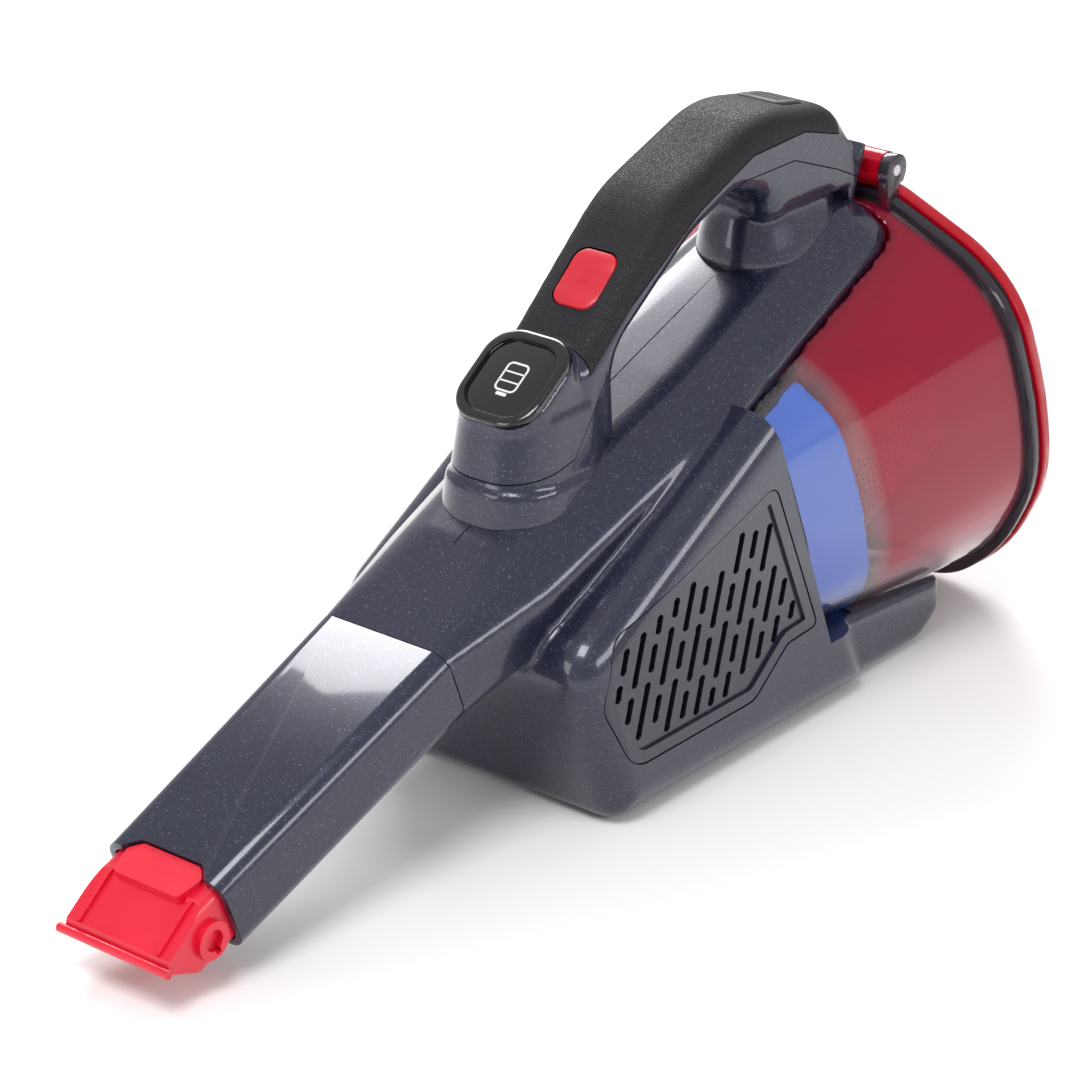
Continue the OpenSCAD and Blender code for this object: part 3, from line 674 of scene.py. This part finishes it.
class OBJECT_OT_vacuum_nozzle(Piece, bpy.types.Operator):
    """Model the tapered nozzle that holds the crevice tool"""

    bl_idname = "object.vacuum_nozzle"
    bl_label = "Nozzle"

    def execute(self, context):
        half = 25.5
        shell = hull([
            cross_section(MOUTH_U, 0.5, tube(half, NOZZLE_TOP, NOZZLE_LOW, 7)),
            cross_section(SEAM_U - 0.8, 0.4, tube(28, NOZZLE_TOP + 0.5, NOZZLE_LOW, 7)),
        ])
        combine(shell, cross_section(
            SEAM_U - 3, 10, tube(28 - WALL - 0.3, NOZZLE_TOP - WALL, NOZZLE_LOW + WALL + 0.3, 5)), "UNION")
        combine(shell, cross_section(
            MOUTH_U - 1, 140, tube(half - WALL, NOZZLE_TOP - WALL, NOZZLE_LOW + WALL, 5)))
        scallop = prism(round_outline([
            (MOUTH_U - 3, -19, 1), (MOUTH_U + 1, -17.5, 2.5), (MOUTH_U + 5.2, -13, 3.5), (MOUTH_U + 5.2, 13, 3.5),
            (MOUTH_U + 1, 17.5, 2.5), (MOUTH_U - 3, 19, 1),
        ]), 0, 20, AXIS)
        combine(shell, scallop)
        soften(shell, 0.5, 2, 40)
        finish(shell, "nozzle_shell", body_finish(), "main", "body", "nozzle")
        return {"FINISHED"}


class OBJECT_OT_vacuum_crevice_tool(Piece, bpy.types.Operator):
    """Model the red crevice tool with its lip, side bosses and raised top pad"""

    bl_idname = "object.vacuum_crevice_tool"
    bl_label = "Crevice tool"

    def execute(self, context):
        lip = MOUTH_U - 29
        half = 25.5 - WALL - 0.6
        top = NOZZLE_TOP - WALL - 0.6
        low = NOZZLE_LOW + WALL + 0.6
        tool = cross_section(lip, 118, tube(half, top, low, 4.5))
        combine(tool, wedge_on_axis([
            (lip + 0.5, -3.2), (lip + 3, 0.2), (MOUTH_U - 7, top - 1.2), (MOUTH_U - 4, top + 3), (lip + 119, top + 3),
            (lip + 119, low - 2), (lip + 17, low - 2),
        ]), "INTERSECT")
        pad = prism(round_outline([
            (MOUTH_U - 9, -14, 2), (MOUTH_U + 0.6, -16.4, 2.5), (MOUTH_U + 4.6, -12.4, 3.2),
            (MOUTH_U + 4.6, 12.4, 3.2), (MOUTH_U + 0.6, 16.4, 2.5), (MOUTH_U - 9, 14, 2),
        ]), 3, NOZZLE_TOP - 1.0, AXIS)
        combine(tool, pad, "UNION")
        for side in (-1, 1):
            combine(tool, rod(6.6, -2, 2, AXIS @ shift(MOUTH_U - 9, side * half, -6) @ ACROSS, 48), "UNION")
            rib = block((lip + 3, MOUTH_U - 3), (side * 17.2 - 0.7, side * 17.2 + 0.7), (-6, 6.6), AXIS)
            combine(rib, wedge_on_axis([
                (lip - 2, -8), (lip - 2, -1.6), (lip + 3, 1.2), (MOUTH_U - 6, top + 0.6), (MOUTH_U, top + 0.6),
                (MOUTH_U, -8),
            ]), "INTERSECT")
            combine(tool, rib, "UNION")
        combine(tool, rod(1.6, -half - 1.5, half + 1.5, AXIS @ shift(lip, 0, -2) @ ACROSS, 24), "UNION")
        combine(tool, cross_section(lip - 3, 124, tube(half - 2, -4.5, low + 2, 3)))
        combine(tool, cross_section(lip + 18, 118, tube(half - 2, top - 2.4, low + 2, 3)))
        for side in (-1, 1):
            combine(tool, rod(3.7, -1.4, 1.4, AXIS @ shift(MOUTH_U - 9, side * (half + 1.2), -6) @ ACROSS))
            across = sorted((side * (half - 0.4), side * (half + 3)))
            combine(tool, block((-1.1, 1.1), across, (-5.4, -2), AXIS @ shift(MOUTH_U - 9, 0, -6)))
        soften(tool, 0.35, 2, 40)
        finish(tool, "crevice_tool_shell", tool_finish(), "crevice_tool", "tool_red", "crevice_tool")
        return {"FINISHED"}


class OBJECT_OT_vacuum_body(Piece, bpy.types.Operator):
    """Model the body shells: the duct, the motor housing and the foot under the bowl"""

    bl_idname = "object.vacuum_body"
    bl_label = "Body shells"

    def execute(self, context):
        sizes = context.scene.vacuum_sizes
        foot = hull(rounded_slabs(FOOT_HALF, 6, 6, FOOT_SIDE, (0, 22, 45, 67, 90)))
        body = join("body", [duct_shape(), housing_shape(), foot])
        mould(body, sizes.body_voxel, 9)
        slice_axis(body, SEAM_U, -1)
        # room for the bowl, square to the axis above the foot and round the duct
        slab = block((JOIN_U, JOIN_U + 24), (-80, 80), (-115, 40), AXIS)
        slice_off(slab, (0, 0, 27), (0, 0, -1))
        for room in (slab, bowl_shape(-BOWL_GAP, JOIN_U + 0.1)):
            combine(room, duct_shape(-0.35))
            combine(body, room)
        # the hollows
        hollow = housing_shape(WALL)
        slice_axis(hollow, JOIN_U - WALL, 1)
        slice_off(hollow, (0, 0, 5.6), (0, 0, -1))
        combine(hollow, duct_shape(-0.05))
        combine(body, hollow)
        combine(body, duct_shape(WALL, SEAM_U - 10))
        combine(body, block((JOIN_U - 8, JOIN_U + 8), (-35, 35), (MOTOR_W - 24, MOTOR_W + 24), AXIS))
        combine(body, block((PORT_U, PORT_U + PORT_LONG), (-PORT_WIDE / 2, PORT_WIDE / 2),
                            (DUCT_FLOOR - 2, DUCT_FLOOR + 10), AXIS))
        vent = outline_at(VENT_SIDE, -sizes.seam_gap / MM)
        for side in (-1, 1):
            combine(body, side_cutter(vent, 22, side * 55))
        # parting seam along the top of the duct
        combine(body, block((SEAM_U + 40, DUCT_END_U - 8), (-0.25, 0.25), (DUCT_TOP - 0.55, DUCT_TOP + 4), AXIS))
        # the base plate's recess and the charge inlet's hole
        combine(body, rounded_pad(176, 84, -1, 3.2, 8, shift(4)))
        combine(body, rod(4.5, 40, 70, shift(-60, 0, 14) @ Matrix.Rotation(math.radians(-90), 4, "X")))
        finish(body, "body_shells", body_finish(), "main", "body", "body_left", "body_right", angle=40)
        return {"FINISHED"}


class OBJECT_OT_vacuum_vents(Piece, bpy.types.Operator):
    """Model the two slotted vent panels"""

    bl_idname = "object.vacuum_vents"
    bl_label = "Vent panels"

    def execute(self, context):
        set_in, recess = 0.25, 1.1
        plate = combine(housing_shape(set_in), side_cutter(outline_at(VENT_SIDE, 0.1)), "INTERSECT")
        combine(plate, housing_shape(4.2))
        flange = combine(housing_shape(WALL + 0.05), side_cutter(outline_at(VENT_SIDE, -2)), "INTERSECT")
        combine(flange, housing_shape(4.2))
        combine(plate, flange, "UNION")
        combine(plate, block((-200, 200), (-46, 46), (0, 200)))
        slice_axis(plate, JOIN_U - WALL - 0.3, 1)
        field = outline_at(VENT_SIDE, 4.6)
        for side in (-1, 1):
            combine(plate, side_cutter(field, 2 * (recess + set_in), side * HOUSING_HALF))
        combine(plate, self.slots(context.scene.vacuum_sizes))
        for side, name, node in ((1, "vent_panel_left_grille", "vent_panel_left"),
                                 (-1, "vent_panel_right_grille", "vent_panel_right")):
            panel = copy_of(plate)
            slice_off(panel, (0, 0, 0), (0, -side, 0))
            soften(panel, 0.3, 2, 45)
            finish(panel, name, panel_finish(), "main", "body_dark", node)
        select_only(plate)
        bpy.ops.object.delete()
        return {"FINISHED"}

    def slots(self, sizes):
        """Leaning columns of long and short slots, kept inside the panel's border."""
        border = outline_at(VENT_SIDE, 6.2)
        lean = math.radians(16)
        along = Vector((math.sin(lean), math.cos(lean)))
        across = Vector((along.y, -along.x))
        middle = Vector((-52, 58))
        width, pitch = sizes.slot_width / MM, sizes.slot_pitch / MM
        half = width / 2
        # a long and a short slot, again and again; every other column starts half a run later
        run, spans = 37, ((0.0, 20.5), (23.7, 10.2))
        slots = []
        for column in range(-9, 10):
            start = middle + across * (column * pitch)
            inside = [q * 0.5 for q in range(-160, 161) if within(start + along * (q * 0.5), border)]
            if not inside:
                continue
            low, high = min(inside), max(inside)
            late = 18.7 if column % 2 else 0.0
            for k in range(-5, 6):
                for begin, long in spans:
                    q0 = max(low, k * run + late + begin)
                    q1 = min(high, k * run + late + begin + long)
                    if q1 - q0 < width + 1.2:
                        continue
                    points = []
                    for q, first in ((q0 + half, -lean), (q1 - half, math.pi - lean)):
                        end = start + along * q
                        points += [end + half * Vector((math.cos(t), -math.sin(t))) for t in arc(first, math.pi, 8)]
                    slots.append(side_cutter(points))
        return join("slots", slots)


def arc(first, turn, steps):
    return [first + turn * k / steps for k in range(steps + 1)]


def within(point, outline):
    """Whether a point lies inside an outline."""
    inside = False
    for a, b in zip(outline, outline[1:] + outline[:1]):
        if (a.y > point.y) != (b.y > point.y) and point.x < (b.x - a.x) * (point.y - a.y) / (b.y - a.y) + a.x:
            inside = not inside
    return inside


class OBJECT_OT_vacuum_handle(Piece, bpy.types.Operator):
    """Model the handle: its lower and upper shells and the soft grip"""

    bl_idname = "object.vacuum_handle"
    bl_label = "Handle"

    def execute(self, context):
        sizes = context.scene.vacuum_sizes
        gap = sizes.seam_gap / MM
        solid = self.blocked_out()
        mould(solid, sizes.handle_voxel, 14)
        combine(solid, duct_shape(-0.1))
        for place, long, wide, radius, deep in (
            (POWER, 23.7, 18.7, 5.5, 12), (RELEASE, 14.7, 20.7, 3.5, 12), (DISPLAY, 38, 35, 12, 3),
        ):
            combine(solid, rounded_pad(long, wide, -deep, 12, radius, place))
        upper = combine(copy_of(solid), region_above(SPLIT_LINE, -140, 120, 260), "INTERSECT")
        combine(solid, region_above([(x, z - gap) for x, z in SPLIT_LINE], -140, 120, 260))
        finish(solid, "handle_lower_shell", body_finish(), "main", "body", "handle_lower", angle=40)
        grip = combine(copy_of(upper), region_above(GRIP_LINE, -73, 66, 250), "INTERSECT")
        around = [(x, z - gap) for x, z in GRIP_LINE]
        around[0] = (-73 - gap, around[0][1])
        around[-1] = (66 + gap, around[-1][1])
        combine(upper, region_above(around, -73 - gap, 66 + gap, 250))
        finish(upper, "handle_upper_shell", body_finish(), "main", "body", "handle_upper", angle=40)
        finish(grip, "soft_grip_cover", grip_finish(), "main", "soft_grip", "soft_grip", angle=40)
        return {"FINISHED"}

    def blocked_out(self):
        """The handle as plain overlapping shapes, before it is moulded."""
        shapes = rounded_slabs(19, 9, 7, HANDLE_SIDE, [90 * k / 7 for k in range(8)])
        # the neck under the display
        shapes.append(hull([
            rounded_pad(36, 33, -1.5, 0, 12, DISPLAY), rounded_pad(39.5, 36.5, -5, -1.5, 14, DISPLAY),
            rounded_pad(47, 37.5, 132, 133, 16, shift(-82)),
        ]))
        # pairs of pads (length, width, bottom, top, corner radius, place), each with a skin round it
        pads = [
            ((49, 39, 137, 138, 16, -81.5), (53, 43, 113, 114, 18, -84)),
            ((55.5, 45.5, 112, 114.5, 19, -84), (60, 50, 96, 97, 21, -84)),
        ]
        # the rear foot flares down to its collar
        rings = [
            (long, wide, z, z + 1, wide / 2 - 0.5, x)
            for long, wide, z, x in ((47, 33, 180, 52), (50, 37, 170, 51.5), (54, 42, 161, 51), (56, 44, 155, 51))
        ]
        pads += zip(rings, rings[1:])
        pads.append(((52, 40, 153, 156, 19.5, 51), (64, 46, 143, 144, 22, 51)))
        for pair in pads:
            shapes.append(hull([rounded_pad(*pad[:5], shift(pad[5])) for pad in pair]))
        return join("handle", shapes)


class OBJECT_OT_vacuum_controls(Piece, bpy.types.Operator):
    """Model the display, its charge symbol, the power button and the bowl release"""

    bl_idname = "object.vacuum_controls"
    bl_label = "Display and buttons"

    def execute(self, context):
        window_place = DISPLAY @ shift(-0.5)
        bezel = hull([
            rounded_pad(37.8, 34.8, -3, 0.2, 12, DISPLAY), rounded_pad(36.6, 33.6, 0.2, 0.9, 11.4, DISPLAY),
            rounded_pad(34.6, 31.6, 0.9, 1.2, 10.4, DISPLAY),
        ])
        combine(bezel, rounded_pad(30.5, 28.5, 0.15, 4, 9.5, window_place))
        combine(bezel, rounded_pad(30, 28, -0.5, 4, 9.2, window_place))
        soften(bezel, 0.25, 2, 40)
        finish(bezel, "display_bezel_ring", gloss_black_finish(), "main", "black", "display_bezel")
        window = hull([
            rounded_pad(29.7, 27.7, -0.4, 0.1, 9.2, window_place),
            rounded_pad(28.2, 26.2, 0.1, 0.35, 8.5, window_place),
        ])
        finish(window, "display_glass", gloss_black_finish(), "main", "display", "display_window")
        self.charge_symbol()
        self.power_button()
        self.release_button()
        return {"FINISHED"}

    def charge_symbol(self):
        """A battery outline with two bars, printed on the window."""
        low, high = 0.30, 0.42
        long, wide, line = 12.0, 9.2, 0.75
        mark = rounded_pad(long, wide, low, high, 2.2, DISPLAY)
        combine(mark, rounded_pad(long - 2 * line, wide - 2 * line, low - 1, high + 1, 1.5, DISPLAY))
        parts = [mark, rounded_pad(1.3, 4.4, low, high, 0.4, DISPLAY @ shift(-7.1))]
        for x in (-1.9, 1.9):
            parts.append(rounded_pad(0.6, wide - 0.4, low, high, 0.2, DISPLAY @ shift(x)))
        ink = plain_abs("Printed ink, pale grey", linear("#d6d6dc"), 0.5, 0.0)
        finish(join("mark", parts), "charge_symbol", ink, "main", "light_plastic")

    def power_button(self):
        button = hull([
            rounded_pad(23, 18, -4.5, 0.6, 5.2, POWER), rounded_pad(22.2, 17.2, 0.6, 1.25, 4.8, POWER),
            rounded_pad(20.4, 15.4, 1.25, 1.6, 4.0, POWER),
        ])
        combine(button, rod(2.4, -5.5, -4, POWER, 32), "UNION")
        # a shallow thumb dish
        combine(button, rod(60, -20, 20, POWER @ shift(0, 0, 61.1) @ ACROSS, 160))
        low, high = 0.9, 1.22
        symbol = rod(2.7, low, high, POWER @ shift(-3), 36)
        combine(symbol, rod(2.15, 0, 3, POWER @ shift(-3), 36))
        combine(symbol, block((-4, 1), (-0.9, 0.9), (0, 3), POWER @ shift(-4.5)))
        parts = [button, symbol, rounded_pad(2.6, 0.55, low, high, 0.2, POWER @ shift(-4.8))]
        for x in (3.4, 5.6):
            parts.append(rounded_pad(0.55, 2.6, low, high, 0.2, POWER @ shift(x)))
        button = join("button", parts)
        finish(button, "power_button_cap", button_finish(), "power_button", "button_red", "power_button", angle=30)

    def release_button(self):
        button = hull([
            rounded_pad(14, 20, -7, 0.1, 3.2, RELEASE), rounded_pad(13, 19, 0.1, 0.6, 2.8, RELEASE),
            rounded_pad(11.6, 17.6, 0.6, 0.8, 2.2, RELEASE),
        ])
        combine(button, block((-2, 2), (-4, 4), (-12, -6), RELEASE), "UNION")
        for x in (-3, 0, 3):
            combine(button, rounded_pad(1.0, 13, 0.35, 3, 0.45, RELEASE @ shift(x)))
        finish(button, "bowl_release_button", black_finish(), "bowl_release", "black", "bowl_release", angle=30)


class OBJECT_OT_vacuum_filter(Piece, bpy.types.Operator):
    """Model the blue filter frame and the pre-filter with its fine mesh"""

    bl_idname = "object.vacuum_filter"
    bl_label = "Filter"

    def execute(self, context):
        sizes = context.scene.vacuum_sizes
        ring = bowl_shape(WALL + 0.35, JOIN_U - 4)
        combine(ring, duct_shape(-BOWL_GAP - WALL - 0.35))
        slice_axis(ring, JOIN_U + FRAME_DEPTH, 1)
        slice_axis(ring, JOIN_U + 1.4, -1)
        mould(ring, 1.1 * MM, 5)
        inner = bowl_shape(WALL + 3.4, JOIN_U + 1)
        combine(inner, duct_shape(-BOWL_GAP - WALL - 3.4))
        slice_axis(inner, JOIN_U + 6, -1)
        combine(ring, inner)
        combine(ring, block((JOIN_U - 5, JOIN_U + FRAME_DEPTH + 15), (-36, 36), (MOTOR_W - 30, MOTOR_W + 26), AXIS))
        finish(ring, "filter_frame_ring", blue_finish(), "bowl", "filter_blue", "filter_frame", angle=40)
        self.pre_filter(sizes)
        return {"FINISHED"}

    def pre_filter(self, sizes):
        front = both([(38, -27, 8), (50.5, -40, 14), (50, -80, 20), (34, -94, 16)])
        rear = both([(38, -44, 10), (50, -56, 12), (49, -82, 16), (34, -94, 12)])
        start = JOIN_U + FRAME_DEPTH + 0.3
        cage = hull([cross_section(start, 2, front), cross_section(69, 1, rear, 0.2), cross_section(71, 1, rear, 2)])
        combine(cage, hull([cross_section(start - 1, 2, front, 2), cross_section(68, 2, rear, 2)]))
        holes = []
        pitch = sizes.mesh_pitch / MM
        for row in range(11):
            for column in range(17):
                u = start + 9 + column * pitch
                w = -80 + row * pitch + (column % 2) * pitch / 2
                x, z = on_side(u, w)
                points = [Vector((x + 0.85 * math.cos(t), z + 0.85 * math.sin(t))) for t in arc(0, 2 * math.pi, 8)[:-1]]
                holes.append(side_cutter(points))
        combine(cage, join("holes", holes))
        soften(cage, 0.3, 1, 50)
        finish(cage, "pre_filter_cage", pre_filter_finish(), "bowl", "filter_red", "pre_filter", angle=30)


class OBJECT_OT_vacuum_bowl(Piece, bpy.types.Operator):
    """Model the clear dust bowl with its rim and hinge lugs, and its door"""

    bl_idname = "object.vacuum_bowl"
    bl_label = "Dust bowl and door"

    def execute(self, context):
        sizes = context.scene.vacuum_sizes
        bowl = bowl_shape(0, JOIN_U - 5, 6)
        combine(bowl, duct_shape(-BOWL_GAP))
        mould(bowl, sizes.bowl_voxel, 6)
        slice_off(bowl, RIM @ Vector((-0.6 * MM, 0, 0)) / MM, RIM_FORWARD, False)
        slice_axis(bowl, JOIN_U + BOWL_GAP, -1, False)
        modify(bowl, "SOLIDIFY", thickness=WALL * MM, offset=-1.0, use_even_offset=False)
        combine(bowl, block((PORT_U, PORT_U + PORT_LONG), (-PORT_WIDE / 2, PORT_WIDE / 2),
                            (DUCT_FLOOR - 8, DUCT_FLOOR + 4), AXIS))
        rim = prism(outline_at(RIM_OUTLINE, 1.2), -5, -0.5, RIM @ CROSS)
        combine(rim, prism(outline_at(RIM_OUTLINE, 6.2), -8, 3, RIM @ CROSS))
        soften(rim, 0.8, 2, 50)
        parts = [bowl, rim]
        for side in (-1, 1):
            lug = RIM @ shift(AXLE_N, side * LUG_Y, AXLE_V) @ ACROSS
            ear = hull([rod(6, -2, 2, lug, 48), rounded_pad(5, 4, -2, 2, 1, lug @ shift(-5.5, -11))])
            combine(ear, block((-1, 19), (-29, -5.8), (-4, 4), lug))
            combine(ear, rod(2.05, -4, 4, lug, 32))
            soften(ear, 0.5, 2, 50)
            parts.append(ear)
        finish(join("bowl", parts), "dust_bowl_shell", bowl_finish(), "bowl", "bowl_clear", "dust_bowl")
        self.door()
        self.latch()
        return {"FINISHED"}

    def door(self):
        steps = [(0.3, 0.6), (0.9, 0.0), (3.6, 0.0), (5.2, 0.8), (6.2, 2.0), (6.8, 4.0), (7.0, 7.0)]
        door = hull([cross_section(depth, 0.05, RIM_OUTLINE, inset, RIM) for depth, inset in steps])
        combine(door, cross_section(-1, 5.6, RIM_OUTLINE, 5, RIM))
        # a shallow pressed panel on the outside
        combine(door, cross_section(6.3, 3, RIM_OUTLINE, 15, RIM))
        place = RIM @ shift(AXLE_N, 0, AXLE_V) @ ACROSS
        for side in (-1, 1):
            combine(door, rod(6.8, side * LUG_Y - 2.4, side * LUG_Y + 2.4, place, 48))
        combine(door, rod(6.2, -22, 22, place, 56), "UNION")
        combine(door, block((0.9, 5.5), (-22, 22), (-1, AXLE_V), RIM), "UNION")
        for side in (-1, 1):
            combine(door, block((6.0, 10.4), (side * 13 - 1, side * 13 + 1), (-160, -142), RIM), "UNION")
        combine(door, block((6.0, 10.4), (-14, 14), (-144, -142), RIM), "UNION")
        combine(door, rod(2.06, -23, 23, place, 32))
        soften(door, 0.4, 2, 45)
        finish(door, "bowl_door", door_finish(), "door", "door_clear", "door")

    def latch(self):
        place = RIM @ shift(7.5, 0, -153.5) @ Matrix.Rotation(math.radians(90), 4, "Y")
        latch = rounded_pad(9, 22.8, 0, 2.4, 1.5, place)
        for v in (-156.5, -154.5, -152.5):
            combine(latch, block((9.9, 10.6), (-8, 8), (v, v + 0.8), RIM), "UNION")
        soften(latch, 0.35, 2, 45)
        finish(latch, "door_latch_tab", button_finish(), "door_latch", "latch_red", "door_latch")


class OBJECT_OT_vacuum_fittings(Piece, bpy.types.Operator):
    """Give the frame's own small parts their finishes"""

    bl_idname = "object.vacuum_fittings"
    bl_label = "Fittings"

    def execute(self, context):
        finishes = {
            black_finish: ("base_plate", "charge_inlet", "battery_holder", "fan_shroud", "switch"),
            seal_finish: ("motor_mount", "inlet_seal", "intake_flap", "filter_seal", "door_seal"),
            steel_finish: ("button_spring", "release_spring", "latch_spring", "case_screws", "hinge_pin",
                           "rotor_shaft"),
        }
        for make, nodes in finishes.items():
            for node in nodes:
                self.dress(node, make())
        for node in ("cell_front", "cell_middle", "cell_rear"):
            self.dress(node, plain_abs("Shrink sleeve, blue", linear("#2f6db2"), 0.35))
        self.dress("motor", drawn_metal("Zinc-plated can", linear("#9a9da3"), 0.38))
        self.dress("fan", plain_abs("Moulded nylon, pale grey", linear("#c4c7cd"), 0.45, 0.0))
        self.dress("circuit_board", plain_abs("Solder resist, green", linear("#17563a"), 0.3, 0.4))
        self.dress("filter_pleats", folded_paper("Pleated filter paper", linear("#e6e1d4")))
        return {"FINISHED"}

    def dress(self, node, material):
        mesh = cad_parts[node].data
        mesh.materials.clear()
        mesh.materials.append(material)


class OBJECT_OT_vacuum_stage(Piece, bpy.types.Operator):
    """Add the floor, the studio lights and the camera"""

    bl_idname = "object.vacuum_stage"
    bl_label = "Stage"

    def execute(self, context):
        select_only()
        bpy.ops.mesh.primitive_plane_add(size=8)
        floor = bpy.context.object
        floor.name = "floor"
        material, shader, place = surface("Matt paper, white", Roughness=0.65, Specular_IOR_Level=0.2)
        tone = add_node(material, "ShaderNodeTexNoise", links={"Vector": place}, Scale=3.0)
        follow(material, shader, tone.outputs["Fac"], (0.3, 0.7), Base_Color=(0.90, 0.93))
        floor.data.materials.append(material)
        for name, place, aim, energy, size, wide in (
            ("key", (-0.9, -0.2, 1.5), (0, 0, 0.1), 15, 0.7, 0.7),
            ("side", (0.1, -1.6, 0.7), (0, 0, 0.1), 9, 1.2, 0.4),
            ("rear", (0.9, 0.9, 1.1), (0, 0, 0.12), 20, 1.0, 0.7),
            ("front", (-1.5, 0.5, 0.5), (-0.1, 0, 0.08), 4, 0.6, 0.6),
        ):
            light = bpy.data.lights.new(name, "AREA")
            light.shape = "RECTANGLE"
            light.size, light.size_y, light.energy = size, wide, energy
            lamp = bpy.data.objects.new(name, light)
            lamp.location = place
            lamp.rotation_euler = (Vector(aim) - Vector(place)).to_track_quat("-Z", "Y").to_euler()
            context.scene.collection.objects.link(lamp)
        world = bpy.data.worlds.new("studio")
        world.use_nodes = True
        world.node_tree.nodes["Background"].inputs["Color"].default_value = (1, 1, 1, 1)
        world.node_tree.nodes["Background"].inputs["Strength"].default_value = 0.6
        context.scene.world = world
        context.scene.view_settings.view_transform = "Standard"
        camera_data = bpy.data.cameras.new("camera")
        camera_data.sensor_width = 36
        camera_data.lens = 133.3
        camera = bpy.data.objects.new("camera", camera_data)
        camera.location = (-1.0429, -0.7905, 0.6397)
        camera.rotation_euler = Vector((0.7069, 0.5786, -0.4067)).to_track_quat("-Z", "Y").to_euler()
        context.scene.collection.objects.link(camera)
        context.scene.camera = camera
        return {"FINISHED"}


class VIEW3D_PT_vacuum(bpy.types.Panel):
    """Lists the vacuum's pieces and settings"""

    bl_label = "Handheld Vacuum"
    bl_idname = "VIEW3D_PT_vacuum"
    bl_space_type = "VIEW_3D"
    bl_region_type = "UI"
    bl_category = "Vacuum"

    def draw(self, context):
        layout = self.layout
        for group in (context.scene.vacuum_sizes, context.scene.vacuum_colors):
            box = layout.box()
            for name in group.__annotations__:
                box.prop(group, name)
        for operator in PIECES:
            layout.operator(operator.bl_idname)


PIECES = (
    OBJECT_OT_vacuum_stage, OBJECT_OT_vacuum_nozzle, OBJECT_OT_vacuum_crevice_tool, OBJECT_OT_vacuum_body,
    OBJECT_OT_vacuum_vents, OBJECT_OT_vacuum_handle, OBJECT_OT_vacuum_controls, OBJECT_OT_vacuum_filter,
    OBJECT_OT_vacuum_bowl, OBJECT_OT_vacuum_fittings,
)
CLASSES = (VacuumSizes, VacuumColors) + PIECES + (VIEW3D_PT_vacuum,)


def register():
    for cls in CLASSES:
        bpy.utils.register_class(cls)
    bpy.types.Scene.vacuum_sizes = bpy.props.PointerProperty(type=VacuumSizes)
    bpy.types.Scene.vacuum_colors = bpy.props.PointerProperty(type=VacuumColors)


def unregister():
    del bpy.types.Scene.vacuum_sizes
    del bpy.types.Scene.vacuum_colors
    for cls in reversed(CLASSES):
        bpy.utils.unregister_class(cls)


def main():
    register()
    bpy.ops.object.vacuum_stage()
    bpy.ops.object.vacuum_nozzle()
    bpy.ops.object.vacuum_crevice_tool()
    bpy.ops.object.vacuum_body()
    bpy.ops.object.vacuum_vents()
    bpy.ops.object.vacuum_handle()
    bpy.ops.object.vacuum_controls()
    bpy.ops.object.vacuum_filter()
    bpy.ops.object.vacuum_bowl()
    bpy.ops.object.vacuum_fittings()


if __name__ == "__main__":
    main()
